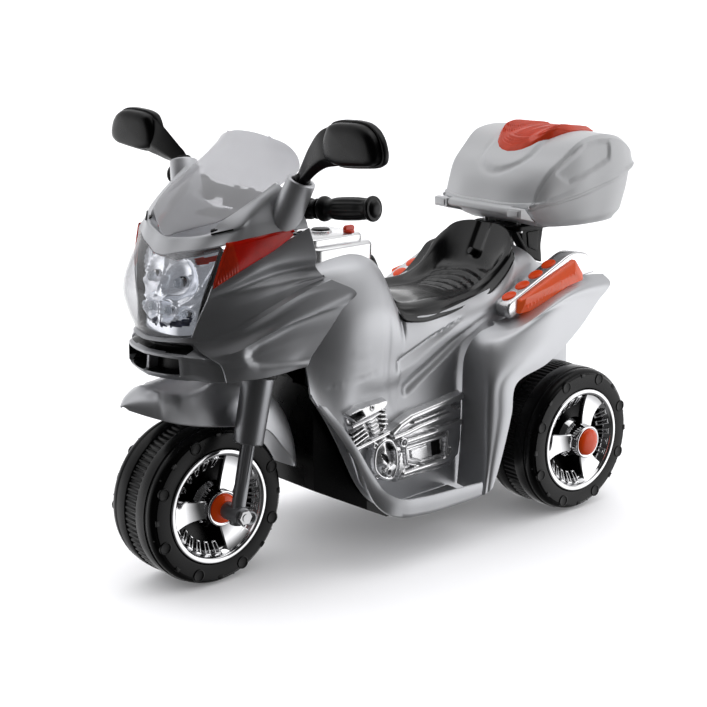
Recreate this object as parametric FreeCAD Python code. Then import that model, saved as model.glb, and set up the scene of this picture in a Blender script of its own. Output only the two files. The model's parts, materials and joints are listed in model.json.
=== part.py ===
import FreeCAD, Part
import math
import os

# Battery ride-on motorbike for small children: one steered front wheel, two rear wheels,
# moulded shells on a plastic chassis tub.  Millimetres, +X forward, +Y left, +Z up.
# The model is laid out from the rear axle (x = 0) and moved at the end so that the origin
# is on the ground under the middle of the whole bike.

V = FreeCAD.Vector

# ---- driving dimensions -------------------------------------------------------------
WHEEL_R = 100.0          # tyre radius
WHEEL_HALF = 45.0        # half width of a tyre
FRONT_X = 535.0          # wheelbase
REAR_Y = 112.0           # rear wheel centre from the middle plane
AXLE_R = 5.0
RUN = 0.06               # running clearance on the axles, radial
RAKE = 12.0              # steering axis leans back by this many degrees
LEG_Y = 80.0             # fork leg from the middle plane
LEG_R = 8.5
COLUMN_R = 10.95
BUSH_R = 11.0
BUSH_OUT = 14.0
BAR_R = 9.0
GRIP_R = 14.0
SKIN = 2.5               # wall of the moulded shells
TUB = 3.0                # wall of the chassis tub
TUB_HALF = 84.0
TUB_REAR_HALF = 54.0
BATTERY = (70.0, 47.0, 100.0)
MOTOR_R = 14.0
MOTOR_L = 45.0
M1, M2 = 1.0, 1.5        # gear modules: motor stage, wheel stage
PINION_T, IDLER_BIG_T, IDLER_SMALL_T, DRIVE_T = 14, 40, 14, 44
GEAR_Y0, GEAR_Y1 = -46.0, -36.0
STAGE_Y0, STAGE_Y1 = -33.5, -27.5
CASE_HINGE = (47.0, 411.0)    # lid hinge axis, x and z
STEM_R = 9.94
SOCKET_R = 10.0
MIRROR_BASE = (468.0, 101.0, 464.0)
MIRROR_TOP = (461.0, 117.0, 499.0)

parts = {}


# ---- building blocks ----------------------------------------------------------------
def box(x0, x1, y0, y1, z0, z1):
    return Part.makeBox(x1 - x0, y1 - y0, z1 - z0, V(x0, y0, z0))


def cyl(p, d, r, h):
    return Part.makeCylinder(r, h, V(*p), V(*d))


def ycyl(x, z, r, y0, y1):
    return Part.makeCylinder(r, y1 - y0, V(x, y0, z), V(0, 1, 0))


def ytube(x, z, ri, ro, y0, y1):
    return ycyl(x, z, ro, y0, y1).cut(ycyl(x, z, ri, y0 - 1, y1 + 1))


def prism_y(pts, y0, y1):
    w = Part.makePolygon([V(x, y0, z) for x, z in pts] + [V(pts[0][0], y0, pts[0][1])])
    return Part.Face(w).extrude(V(0, y1 - y0, 0))


def prism_z(pts, z0, z1):
    w = Part.makePolygon([V(x, y, z0) for x, y in pts] + [V(pts[0][0], pts[0][1], z0)])
    return Part.Face(w).extrude(V(0, 0, z1 - z0))


def prism_x(pts, x0, x1):
    w = Part.makePolygon([V(x0, y, z) for y, z in pts] + [V(x0, pts[0][0], pts[0][1])])
    return Part.Face(w).extrude(V(x1 - x0, 0, 0))


def mirror(s):
    return s.mirror(V(0, 0, 0), V(0, 1, 0))


def pair(s):
    """A left piece and its mirror image, as two separate solids."""
    return Part.makeCompound([s, mirror(s)])


def grid_solid(P, t, inside):
    """Moulded skin of thickness t under the grid P[i][j]; inside is a point on its hollow side."""
    ni, nj = len(P), len(P[0])
    pts = [[V(*p) for p in row] for row in P]
    nor = [[V(0, 0, 0) for _ in row] for row in P]
    cells = [[[] for _ in row] for row in P]
    ins = V(*inside)
    vote = 0.0
    for i in range(ni - 1):
        for j in range(nj - 1):
            a, b, c, d = pts[i][j], pts[i + 1][j], pts[i + 1][j + 1], pts[i][j + 1]
            n = (c - a).cross(d - b)
            area = n.Length
            n = V(n.x / area, n.y / area, n.z / area)
            vote += area * n.dot((a + b + c + d) * 0.25 - ins)
            for u, w in ((i, j), (i + 1, j), (i + 1, j + 1), (i, j + 1)):
                nor[u][w] = nor[u][w] + n
                cells[u][w].append(n)
    sign = 1.0 if vote > 0 else -1.0
    inner = []
    for i in range(ni):
        row = []
        for j in range(nj):
            n = nor[i][j]
            n = V(n.x / n.Length, n.y / n.Length, n.z / n.Length)
            mean = sum(n.dot(c) for c in cells[i][j]) / len(cells[i][j])
            q = pts[i][j] - n * (sign * t / max(mean, 0.6))
            if abs(pts[i][j].y) < 1e-6:
                q = V(q.x, 0.0, q.z)
            row.append(q)
        inner.append(row)
    verts = []
    for rows in (pts, inner):
        for row in rows:
            verts.extend(row)
    idx = lambda k, i, j: k * ni * nj + i * nj + j
    tris = []

    def quad(a, b, c, d):
        tris.append((a, b, c))
        tris.append((a, c, d))

    for i in range(ni - 1):
        for j in range(nj - 1):
            quad(idx(0, i, j), idx(0, i + 1, j), idx(0, i + 1, j + 1), idx(0, i, j + 1))
            quad(idx(1, i, j), idx(1, i, j + 1), idx(1, i + 1, j + 1), idx(1, i + 1, j))
    for i in range(ni - 1):
        quad(idx(0, i, 0), idx(1, i, 0), idx(1, i + 1, 0), idx(0, i + 1, 0))
        quad(idx(0, i, nj - 1), idx(0, i + 1, nj - 1), idx(1, i + 1, nj - 1), idx(1, i, nj - 1))
    for j in range(nj - 1):
        quad(idx(0, 0, j), idx(0, 0, j + 1), idx(1, 0, j + 1), idx(1, 0, j))
        quad(idx(0, ni - 1, j), idx(1, ni - 1, j), idx(1, ni - 1, j + 1), idx(0, ni - 1, j + 1))
    faces = []
    for a, b, c in tris:
        A, B, C = verts[a], verts[b], verts[c]
        if (B - A).cross(C - A).Length < 1e-6:
            continue
        faces.append(Part.Face(Part.makePolygon([A, B, C, A])))
    sh = Part.makeShell(faces)
    sh.sewShape()
    sol = Part.makeSolid(sh)
    if sol.Volume < 0:
        sol.reverse()
    return sol


def full(half):
    """Grid rows given from the middle plane outwards to the left become whole-width rows."""
    out = []
    for row in half:
        left = list(reversed(row))
        right = [(x, -y, z) for x, y, z in row[1:]]
        out.append(left + right)
    return out


def flip(P):
    return [[(x, -y, z) for x, y, z in row] for row in P]


# steering frame: origin on the front axle, local z up the steering axis
ST = FreeCAD.Placement(V(FRONT_X, 0, WHEEL_R), FreeCAD.Rotation(V(0, 1, 0), -RAKE))


def steer(s):
    s = s.copy()
    s.Placement = ST.multiply(s.Placement)
    return s


def gear(teeth, module, y0, y1, cx, cz, phase, bore, addendum=0.9, slack=0.22):
    """Spur gear about Y at (cx, cz); a tooth is centred at the angle phase (degrees, from +X to +Z)."""
    pa = math.radians(20)
    rp = module * teeth / 2.0
    rb = rp * math.cos(pa)
    ra = rp + addendum * module
    rf = rp - 1.25 * module
    half = math.pi / (2 * teeth) - slack / (2 * rp)
    inv_p = math.tan(pa) - pa

    def ang(r):
        if r <= rb:
            return half + inv_p
        al = math.acos(rb / r)
        return half + inv_p - (math.tan(al) - al)

    radii = [rf]
    r0 = max(rb, rf + 0.01)
    steps = 5
    radii += [r0 + (ra - r0) * k / steps for k in range(steps + 1)]
    pts = []
    for k in range(teeth):
        c = math.radians(phase) + 2 * math.pi * k / teeth
        for r in radii:
            pts.append((r, c - ang(r)))
        for r in reversed(radii):
            pts.append((r, c + ang(r)))
    poly = [(cx + r * math.cos(a), cz + r * math.sin(a)) for r, a in pts]
    s = prism_y(poly, y0, y1)
    return s.cut(ycyl(cx, cz, bore, y0 - 1, y1 + 1))


# ---- body shells --------------------------------------------------------------------
body_rows = [
    (-78, [(0, 316), (28, 314), (50, 304), (57, 262), (58, 190), (58, 78)]),
    (-20, [(0, 336), (30, 334), (60, 322), (72, 280), (60, 212), (58, 64)]),
    (28, [(0, 366), (34, 362), (64, 346), (80, 292), (61, 214), (58, 56)]),
    (62, [(80, 348), (83, 344), (87, 320), (88, 280), (63, 216), (58, 50)]),
    (105, [(92, 324), (95, 319), (97, 302), (95, 262), (64, 218), (60, 46)]),
    (118, [(94, 319), (97, 314), (98, 299), (96, 258), (84, 205), (84, 46)]),
    (150, [(98, 306), (100, 301), (101, 288), (98, 245), (88, 202), (88, 46)]),
    (180, [(99, 299), (101, 294), (102, 280), (98, 240), (88, 207), (88, 48)]),
    (230, [(98, 291), (100, 287), (101, 272), (97, 238), (88, 209), (88, 48)]),
    (278, [(93, 290), (97, 286), (99, 272), (96, 236), (88, 209), (88, 50)]),
    (290, [(0, 380), (52, 372), (92, 312), (96, 238), (88, 209), (88, 52)]),
    (325, [(0, 388), (58, 383), (98, 330), (97, 242), (88, 209), (88, 68)]),
    (352, [(0, 388), (58, 382), (94, 330), (94, 248), (88, 207), (88, 98)]),
    (375, [(0, 386), (55, 379), (86, 328), (88, 248), (87, 190), (87, 143)]),
    (398, [(0, 382), (50, 375), (77, 325), (82, 260), (85, 215), (85, 186)]),
    (420, [(0, 375), (42, 369), (63, 325), (72, 275), (79, 240), (81, 226)]),
]
body_grid = [[(x, y, z) for y, z in row] for x, row in body_rows]
parts["body_shell_left"] = grid_solid(body_grid, SKIN, (180, -30, 170)).cut(ycyl(0, WHEEL_R, 11.0, 40, 80))
parts["body_shell_right"] = grid_solid(flip(body_grid), SKIN, (180, 30, 170)).cut(ycyl(0, WHEEL_R, 13.5, -80, -40))

# foot rest trays with the upturned lip that sweeps up the front edge of the leg shield
foot_grid = [
    [(192, 91, 60), (192, 148, 57), (192, 154, 80)],
    [(235, 91, 60), (235, 148, 56), (235, 154, 79)],
    [(285, 91, 62), (287, 147, 58), (287, 153, 82)],
    [(322, 91, 73), (332, 140, 66), (328, 147, 90)],
    [(350, 91, 102), (366, 126, 95), (362, 133, 115)],
    [(372, 90.5, 146), (390, 118, 140), (385, 125, 158)],
    [(396, 88.5, 190), (414, 112, 180), (409, 119, 196)],
    [(414, 85, 225), (430, 98, 214), (426, 106, 227)],
]
parts["foot_rests"] = pair(grid_solid(foot_grid, SKIN, (300, 120, 20)))

# rear side pods: a wall in front of the wheel that sweeps up and back over it
pod_grid = [
    [(186, 93, 56), (188, 150, 58), (182, 158, 60), (175, 159, 61)],
    [(188, 93, 95), (187, 150, 95), (178, 159, 95), (166, 160, 93)],
    [(194, 96, 170), (186, 148, 168), (165, 159, 167), (144, 160, 166)],
    [(196, 101, 208), (182, 147, 212), (160, 158, 209), (134, 159, 206)],
    [(188, 105, 238), (168, 144, 242), (120, 157, 236), (67, 154, 222)],
    [(172, 107, 258), (150, 140, 260), (80, 152, 262), (-2, 144, 253)],
    [(150, 109, 270), (124, 138, 270), (40, 146, 292), (-60, 129, 283)],
    [(128, 110, 275), (106, 134, 276), (12, 139, 308), (-97, 119, 301)],
    [(122, 103, 278), (98, 104, 280), (5, 106, 314), (-100, 102, 312)],
    [(116, 103, 266), (92, 99, 268), (0, 92, 302), (-95, 88, 298)],
]
parts["rear_pods"] = pair(grid_solid(pod_grid, SKIN, (110, 105, 190)))

# bright lamp trims on the pods, with round domes, and the red lamp bars beside them
trim_poly = [(113, 285), (117, 298), (112, 310), (-7, 357), (-40, 352), (-60, 334), (-58, 322), (8, 321)]
trim = prism_y(trim_poly, 105, 123)
parts["lamp_trims"] = pair(trim)
bar_poly = [(109, 287), (105, 303), (-14, 343), (-19, 326), (8, 321)]
lampbar = prism_y(bar_poly, 123.5, 137)
parts["lamp_bars"] = pair(lampbar)
slope = math.atan2(357 - 310, -7 - 112)
up = (math.sin(math.atan2(357 - 310, 119)), 0, math.cos(math.atan2(357 - 310, 119)))
domes = []
for k, x in enumerate((96, 71, 46, 21)):
    z = 310 + (112 - x) * (357 - 310) / 119.0
    for s in (1, -1):
        domes.append(cyl((x, 114 * s, z), up, 7.5, 5.0))
parts["marker_domes"] = Part.makeCompound(domes)

# ---- seat: a saddle-shaped shell, high at the back, lipped up against the tank ----------
seat_half = [
    [(35, 0, 388), (38, 38, 387), (47, 66, 378), (60, 84, 362)],
    [(51, 0, 345), (53, 35, 345), (59, 62, 346), (76, 86, 350)],
    [(76, 0, 306), (77, 32, 306), (83, 60, 310), (96, 91, 336)],
    [(120, 0, 301), (120, 30, 300), (121, 62, 303), (124, 97, 322)],
    [(165, 0, 303), (165, 30, 302), (165, 64, 302), (165, 101, 309)],
    [(215, 0, 307), (215, 30, 305), (215, 66, 301), (215, 102, 299)],
    [(252, 0, 306), (252, 30, 304), (253, 64, 300), (256, 99, 298)],
    [(265, 0, 313), (266, 30, 312), (268, 60, 308), (272, 90, 302)],
    [(272, 0, 346), (272, 28, 344), (273, 54, 338), (275, 76, 330)],
    [(279, 0, 380), (279, 20, 379), (279, 38, 376), (279, 52, 370)],
]
parts["seat"] = grid_solid(full(seat_half), 3.0, (160, 0, 250))

# ---- chassis tub with the arm that carries the head tube --------------------------------
plan = [(-74, -TUB_REAR_HALF), (113, -TUB_REAR_HALF), (119, -81), (160, -TUB_HALF), (330, -TUB_HALF), (402, -64),
        (402, 64), (330, TUB_HALF), (160, TUB_HALF), (119, 81), (113, TUB_REAR_HALF), (-74, TUB_REAR_HALF)]
plan_in = [(-71, -TUB_REAR_HALF + TUB), (115, -TUB_REAR_HALF + TUB), (121, -78), (160, -TUB_HALF + TUB),
           (329, -TUB_HALF + TUB), (399, -61.5), (399, 61.5), (329, TUB_HALF - TUB), (160, TUB_HALF - TUB),
           (121, 78), (115, TUB_REAR_HALF - TUB), (-71, TUB_REAR_HALF - TUB)]
side = [(-74, 62), (-20, 40), (296, 40), (402, 94), (402, 228), (382, 228), (330, 145), (-74, 145)]
side_in = [(-80, 66), (-20, 43), (295, 43), (410, 101), (410, 300), (-80, 300)]
tub = prism_z(plan, 0, 300).common(prism_y(side, -200, 200))
tub = tub.cut(prism_z(plan_in, 0, 300).common(prism_y(side_in, -200, 200)))
arm = prism_y([(382, 218), (402, 218), (402, 232), (462, 288), (470, 351), (436, 351), (382, 262)], -24, 24)
head = steer(Part.makeCylinder(19, 66, V(0, 0, 196)))
tub = tub.fuse(arm).fuse(head)
tub = tub.cut(steer(Part.makeCylinder(BUSH_OUT, 100, V(0, 0, 180))))
tub = tub.fuse(ycyl(0, WHEEL_R, 10.0, 40, 68.5)).cut(ycyl(0, WHEEL_R, AXLE_R, 30, 80))
tub = tub.cut(ycyl(0, WHEEL_R, 14.0, -70, -40))
tail = prism_x([(0, 308), (26, 306), (46, 297), (53, 258), (53.5, 190), (53.5, 80), (-53.5, 80), (-53.5, 190),
                (-53, 258), (-46, 297), (-26, 306)], -74, -71)
tub = tub.fuse(tail).cut(cyl((-90, 0, 236), (1, 0, 0), 8.0, 30))
parts["chassis_tub"] = tub.removeSplitter()

low_bush = steer(Part.makeCylinder(BUSH_OUT, 20, V(0, 0, 196)).fuse(Part.makeCylinder(18, 3, V(0, 0, 193)))
                 .cut(Part.makeCylinder(BUSH_R, 60, V(0, 0, 180))))
top_bush = steer(Part.makeCylinder(BUSH_OUT, 20, V(0, 0, 242)).fuse(Part.makeCylinder(18, 3, V(0, 0, 262)))
                 .cut(Part.makeCylinder(BUSH_R, 60, V(0, 0, 230))))
parts["steering_bushes"] = Part.makeCompound([low_bush.removeSplitter(), top_bush.removeSplitter()])

sock = cyl((-79, 0, 236), (1, 0, 0), 8.0, 22).fuse(cyl((-79, 0, 236), (1, 0, 0), 11.0, 5.0))
parts["charge_socket"] = sock.cut(cyl((-90, 0, 236), (1, 0, 0), 3.0, 20)).removeSplitter()

# bright engine panels on the flanks: crankcase block, ribbed cylinder and exhaust run
eng = prism_y([(205, 74), (318, 74), (334, 112), (336, 150), (322, 196), (296, 204), (270, 168), (222, 192), (200, 150)],
              88.6, 96)
eng = eng.fuse(ycyl(292, 132, 24, 95, 105)).fuse(box(212, 262, 95, 103, 84, 112)).fuse(box(206, 262, 95, 103, 128, 152))
parts["engine_panels"] = pair(eng.removeSplitter())

# ---- console on the tank ---------------------------------------------------------------
KEY = (310.0, 26.0)
ROCK = (362.0, -12.0)
BUTTON = (328.0, -8.0)
DECK = 408.0
con = prism_z([(285, -40), (294, -46), (378, -46), (392, -34), (392, 34), (378, 46), (294, 46), (285, 40)], 389.5, DECK - 9.5)
con = con.fuse(prism_z([(294, -30), (300, -34), (374, -34), (384, -26), (384, 26), (374, 34), (300, 34), (294, 30)], DECK - 9.5, DECK))
con = con.cut(cyl((KEY[0], KEY[1], DECK - 13), (0, 0, 1), 5.05, 20))
con = con.cut(cyl((BUTTON[0], BUTTON[1], DECK - 13), (0, 0, 1), 12.4, 20))
con = con.cut(box(ROCK[0] - 12.5, ROCK[0] + 12.5, ROCK[1] - 8, ROCK[1] + 8, DECK - 13, DECK + 3))
con = con.cut(ycyl(ROCK[0], DECK - 6.0, 1.55, ROCK[1] - 11, ROCK[1] + 11))
con = con.removeSplitter()
parts["console"] = con
key = cyl((KEY[0], KEY[1], DECK - 12), (0, 0, 1), 5.0, 13).fuse(cyl((KEY[0], KEY[1], DECK + 0.5), (0, 0, 1), 7.2, 3.0))
key = key.fuse(box(KEY[0] - 8, KEY[0] + 8, KEY[1] - 2.2, KEY[1] + 2.2, DECK + 3, DECK + 10))
parts["key_knob"] = key.removeSplitter()
parts["horn_button"] = cyl((BUTTON[0], BUTTON[1], DECK - 9), (0, 0, 1), 12.0, 13)
rock_z = DECK - 6.0
rk = prism_y([(ROCK[0] - 10, DECK - 5), (ROCK[0] - 3, DECK - 9), (ROCK[0] + 3, DECK - 9), (ROCK[0] + 10, DECK - 5), (ROCK[0] + 10, DECK + 2.5),
              (ROCK[0], DECK + 1), (ROCK[0] - 10, DECK + 2.5)], ROCK[1] - 7, ROCK[1] + 7)
parts["direction_rocker"] = rk.fuse(ycyl(ROCK[0], rock_z, 1.5, ROCK[1] - 10.5, ROCK[1] + 10.5)).removeSplitter()

# ---- rack and top case -------------------------------------------------------------------
rack = box(-112, 16, -44, 44, 377, 384.5)
strut = prism_y([(-50, 378), (-6, 378), (-12, 342.5), (-50, 325)], 21, 31)
rack = rack.fuse(strut).fuse(mirror(strut))
BOLTS = [(0, 32), (0, -32), (-96, 32), (-96, -32)]
for bx, by in BOLTS:
    rack = rack.cut(cyl((bx, by, 370), (0, 0, 1), 3.0, 30))
parts["rack_bracket"] = rack.removeSplitter()

case_plan = [(40, 76), (6, 92), (-50, 103), (-120, 103), (-158, 92), (-175, 62)]
case_plan = case_plan + [(x, -y) for x, y in reversed(case_plan)]
case_plan_in = [(36.5, 73), (5, 88.6), (-50, 99.6), (-119, 99.6), (-155.6, 89.4), (-171.5, 60.8)]
case_plan_in = case_plan_in + [(x, -y) for x, y in reversed(case_plan_in)]
base = prism_z(case_plan, 300, 600).common(
    prism_y([(14, 385), (-146, 385), (-167, 425), (-176, 457), (42, 411), (34, 400)], -150, 150))
base = base.cut(prism_z(case_plan_in, 300, 600).common(
    prism_y([(12, 388.2), (-144, 388.2), (-163.5, 426), (-173, 470), (39, 470), (31, 401)], -150, 150)))
hx, hz = CASE_HINGE
lugs = []
for s in (1, -1):
    for y0, y1 in ((40.0, 46.7), (57.3, 64.0)):
        a, b = (s * y0, s * y1) if s > 0 else (s * y1, s * y0)
        lugs.append(prism_y([(hx - 20, hz - 14), (hx, hz - 5.5), (hx + 5, hz - 2), (hx + 5, hz + 2), (hx + 1, hz + 5), (hx - 3.2, hz + 2),
                             (hx - 8.5, hz - 2.5)], a, b))
for l in lugs:
    base = base.fuse(l)
for s in (1, -1):
    a, b = (42.0, 62.0) if s > 0 else (-62.0, -42.0)
    base = base.fuse(ycyl(hx, hz, 2.5, a, b))
for bx, by in BOLTS:
    base = base.cut(cyl((bx, by, 380), (0, 0, 1), 3.0, 20))
parts["top_case_base"] = base.removeSplitter()
parts["case_bolts"] = Part.makeCompound(
    [cyl((bx, by, 373), (0, 0, 1), 5.5, 4).fuse(cyl((bx, by, 377), (0, 0, 1), 3.0, 13)).removeSplitter() for bx, by in BOLTS])

LID_TOP = [(-172, 478), (-164, 488), (-140, 503), (-108, 509), (-70, 508), (-38, 500.5), (-9, 482), (17, 463.5), (33, 441), (38, 421)]
lid = prism_z(case_plan, 300, 600).common(prism_y([(-177, 460)] + LID_TOP + [(39, 415.2)], -150, 150))
lid = lid.cut(prism_z(case_plan_in, 300, 600).common(
    prism_y([(-172.5, 440), (-168.5, 477), (-161.5, 485.5), (-138.5, 499.7), (-107.6, 505.5), (-70.4, 504.5), (-39.6, 497.3), (-11.2, 479.2), (14.2, 461.2),
             (29.6, 439.6), (33.8, 420), (33.8, 390)], -150, 150)))
for s in (1, -1):
    a, b = (47.2, 56.8) if s > 0 else (-56.8, -47.2)
    lug = prism_y([(hx - 10, hz + 6.5), (hx - 4.8, hz + 3), (hx - 4.6, hz - 1), (hx - 2, hz - 4.5), (hx + 3, hz - 4.5), (hx + 5.5, hz),
                   (hx + 3, hz + 6), (hx - 9, hz + 13)], a, b)
    lid = lid.fuse(lug).cut(ycyl(hx, hz, 2.55, a - 1, b + 1))
parts["top_case_lid"] = lid.removeSplitter()
refl = prism_y([(-132, 503), (-108, 506.5), (-70, 505.5), (-39, 498), (-10, 479.5), (-8, 487), (-36, 506.5), (-69, 514), (-108, 515), (-133, 511.5)], -54, 54)
refl = refl.cut(lid)
parts["lid_reflector"] = sorted(refl.Solids, key=lambda s: -s.Volume)[0]

# ---- wheels ------------------------------------------------------------------------------
def tyre(yc, y_in, y_out):
    """Hollow moulded tyre with its hub tube and middle web; the hub runs from y_in to y_out about yc."""
    h = WHEEL_HALF
    ri = AXLE_R + RUN
    p = [(ri, y_in), (14, y_in), (14, -3.5), (95.5, -3.5), (95.5, -41), (72, -41), (72, -h), (91, -h), (93, -43), (98, -40),
         (99, -33), (100, -31), (100, -12), (98.2, -11), (98.2, 11), (100, 12), (100, 31), (99, 33), (98, 40), (93, 43), (91, h),
         (72, h), (72, 41), (95.5, 41), (95.5, 3.5), (14, 3.5), (14, y_out), (ri, y_out)]
    w = Part.makePolygon([V(r, yc + y, 0) for r, y in p] + [V(p[0][0], yc + p[0][1], 0)])
    return Part.Face(w).revolve(V(0, 0, 0), V(0, 1, 0), 360)


def cover(y_face, sgn, y_end):
    """Bright wheel cover: rim ring, three spokes and hub barrel, its face at y_face pointing along sgn."""
    def yc(r, a, b):
        lo, hi = sorted((y_face + sgn * a, y_face + sgn * b))
        return ycyl(0, 0, r, lo, hi)
    disc = yc(71, -3.5, 0.5)
    win = yc(60, -10, 10).cut(yc(24, -11, 11))
    for k in range(3):
        a = math.radians(180 + 120 * k)
        sp = box(0, 70, -60, 60, -11, 11)
        sp = Part.makeBox(75, 60, 20, V(0, -30, -10))
        sp.rotate(V(0, 0, 0), V(0, 1, 0), -math.degrees(a))
        sp.translate(V(0, y_face, 0))
        win = win.cut(sp)
    disc = disc.cut(win)
    disc = disc.fuse(yc(19, -8, y_end))
    return disc.cut(yc(14.4, -20, 40)).removeSplitter()


def cap(y_face, sgn, y0, y1, y2, bore):
    """Domed hub cap: a skirt in the barrel (y0 to y1) and a dome to y2, with an axle hole or a nut pocket."""
    def yc(r, a, b):
        lo, hi = sorted((y_face + sgn * a, y_face + sgn * b))
        return ycyl(0, 0, r, lo, hi)
    s = yc(14.2, y0, y1).fuse(yc(16.5, y1, y2))
    s = s.cut(yc(bore, y0 - 1, y2 + 1)) if bore < 8 else s.cut(yc(bore, y0 - 1, y1 + 0.5))
    return s.removeSplitter()


def at(s, x):
    s = s.copy()
    s.translate(V(x, 0, WHEEL_R))
    return s


parts["front_tyre"] = at(tyre(0, -48, 48), FRONT_X)
parts["front_covers"] = Part.makeCompound([at(cover(sg * WHEEL_HALF, sg, 9), FRONT_X) for sg in (1, -1)])
parts["front_caps"] = Part.makeCompound([at(cap(sg * WHEEL_HALF, sg, 4, 9, 13, AXLE_R + 0.5), FRONT_X) for sg in (1, -1)])
for nm, sg in (("left", 1), ("right", -1)):
    yc = sg * REAR_Y
    lo, hi = (-42, 48) if sg > 0 else (-48, 42)
    parts["rear_tyre_" + nm] = at(tyre(yc, lo, hi), 0)
    parts["rear_cover_" + nm] = at(cover(yc + sg * WHEEL_HALF, sg, 13), 0)
    parts["rear_cap_" + nm] = at(cap(yc + sg * WHEEL_HALF, sg, 4, 13, 17, 12.0), 0)

# ---- axles, bush, nuts ---------------------------------------------------------------------
def hexnut(x, z, y0, y1, r, bore):
    pts = [(x + r * math.cos(math.radians(60 * k)), z + r * math.sin(math.radians(60 * k))) for k in range(6)]
    return prism_y(pts, y0, y1).cut(ycyl(x, z, bore, y0 - 1, y1 + 1))


parts["rear_axle"] = ycyl(0, WHEEL_R, AXLE_R, -168, 168)
parts["rear_axle_nuts"] = Part.makeCompound(
    [hexnut(0, WHEEL_R, 160.5, 166.5, 9, AXLE_R), hexnut(0, WHEEL_R, -166.5, -160.5, 9, AXLE_R)])
parts["front_axle"] = ycyl(FRONT_X, WHEEL_R, AXLE_R, -99, 99)
parts["front_axle_nuts"] = Part.makeCompound(
    [hexnut(FRONT_X, WHEEL_R, 92, 98, 9, AXLE_R), hexnut(FRONT_X, WHEEL_R, -98, -92, 9, AXLE_R)])

# ---- fork, column, bar ---------------------------------------------------------------------
def leg(s):
    a, b = (60.0, 92.0) if s > 0 else (-92.0, -60.0)
    c, d = (74.0, 88.0) if s > 0 else (-88.0, -74.0)
    l = Part.makeCylinder(LEG_R, 180, V(0, s * LEG_Y, -12))
    l = l.fuse(Part.makeCone(15.5, 18.0, 90, V(0, s * LEG_Y, 78)))
    l = l.fuse(Part.makeCylinder(11, b - a, V(0, a, 0), V(0, 1, 0)))
    l = l.fuse(Part.makeCylinder(8.5, d - c, V(-14, c, -3), V(0, 1, 0)))
    l = l.cut(Part.makeCylinder(4.5, d - c + 2, V(-16, c - 1, -3), V(0, 1, 0)))
    l = l.cut(Part.makeCylinder(AXLE_R, 60, V(0, a - 5, 0), V(0, 1, 0)))
    return steer(l.removeSplitter())


parts["fork_legs"] = Part.makeCompound([leg(1), leg(-1)])
crown = Part.makeBox(40, 196, 14, V(-20, -98, 168))
parts["steering_stem"] = steer(crown.fuse(Part.makeCylinder(COLUMN_R, 179, V(0, 0, 181))).removeSplitter())
bar_pts = [(457, 0, 463), (438, 60, 463), (433, 114, 463), (418, 194, 471)]


def rod(a, b, r):
    d = V(*b) - V(*a)
    return Part.makeCylinder(r, d.Length, V(*a), d)


bar_l = rod(bar_pts[0], bar_pts[1], BAR_R)
for k in (1, 2):
    bar_l = bar_l.fuse(Part.makeSphere(BAR_R, V(*bar_pts[k]))).fuse(rod(bar_pts[k], bar_pts[k + 1], BAR_R))
bar = bar_l.fuse(Part.makeSphere(BAR_R, V(*bar_pts[0]))).fuse(mirror(bar_l)).removeSplitter()
clamp = steer(Part.makeBox(30, 44, 24, V(-15, -22, 360)))
parts["handlebar"] = bar.fuse(clamp).removeSplitter()

g0, g1 = V(*bar_pts[2]), V(*bar_pts[3])
gd = (g1 - g0)
gl = gd.Length
gd.normalize()


def grip():
    a = g0 + gd * 6
    s = Part.makeCylinder(15, 6, a, gd)
    s = s.fuse(Part.makeCylinder(GRIP_R, gl - 6 - 4, a, gd))
    s = s.fuse(Part.makeCylinder(14.5, 8, g1 - gd * 4, gd))
    s = s.cut(Part.makeCylinder(BAR_R, gl, g0, gd))
    return s.removeSplitter()


parts["grips"] = pair(grip())

# ---- mudguard ------------------------------------------------------------------------------
mud_half = [
    [(642, 0, 237), (640, 5, 236), (637, 10, 233)],
    [(618, 0, 250), (616, 24, 244), (612, 42, 224)],
    [(578, 0, 256), (577, 34, 246), (575, 54, 213)],
    [(536, 0, 257), (536, 36, 246), (536, 57, 205)],
    [(500, 0, 252), (500, 36, 240), (500, 57, 198)],
    [(462, 0, 238), (464, 34, 224), (467, 53, 186)],
    [(434, 0, 208), (437, 31, 194), (443, 49, 160)],
    [(419, 0, 168), (421, 28, 160), (425, 45, 140)],
    [(412, 0, 122), (413, 25, 124), (416, 42, 128)],
]
parts["front_mudguard"] = grid_solid(full(mud_half), SKIN, (525, 0, 120))

# ---- fairing ---------------------------------------------------------------------------------
fair_half = [
    [(598, 0, 268), (588, 48, 270), (560, 96, 270), (510, 118, 272), (464, 129, 281)],
    [(608, 0, 290), (598, 52, 291), (572, 94, 292), (514, 122, 292), (455, 130.5, 293)],
    [(602, 0, 312), (590, 40, 314), (575, 64, 316), (520, 112, 316), (433, 132, 316)],
    [(577, 56, 321), (568, 72, 332), (545, 96, 338), (490, 117, 340), (412, 134, 340)],
    [(572, 63, 340), (560, 80, 352), (535, 97, 358), (480, 114, 360), (393, 136, 360)],
    [(568, 72, 362), (553, 85, 374), (525, 96, 383), (478, 107, 384), (432, 121, 382)],
    [(564, 80, 383), (545, 88, 394), (518, 95.5, 408), (486, 102, 422), (447, 113, 441)],
]
fl = grid_solid(fair_half, SKIN, (520, 0, 330))
fr = grid_solid(flip(fair_half), SKIN, (520, 0, 330))
parts["nose_fairing"] = fl.fuse(fr).removeSplitter()

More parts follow.
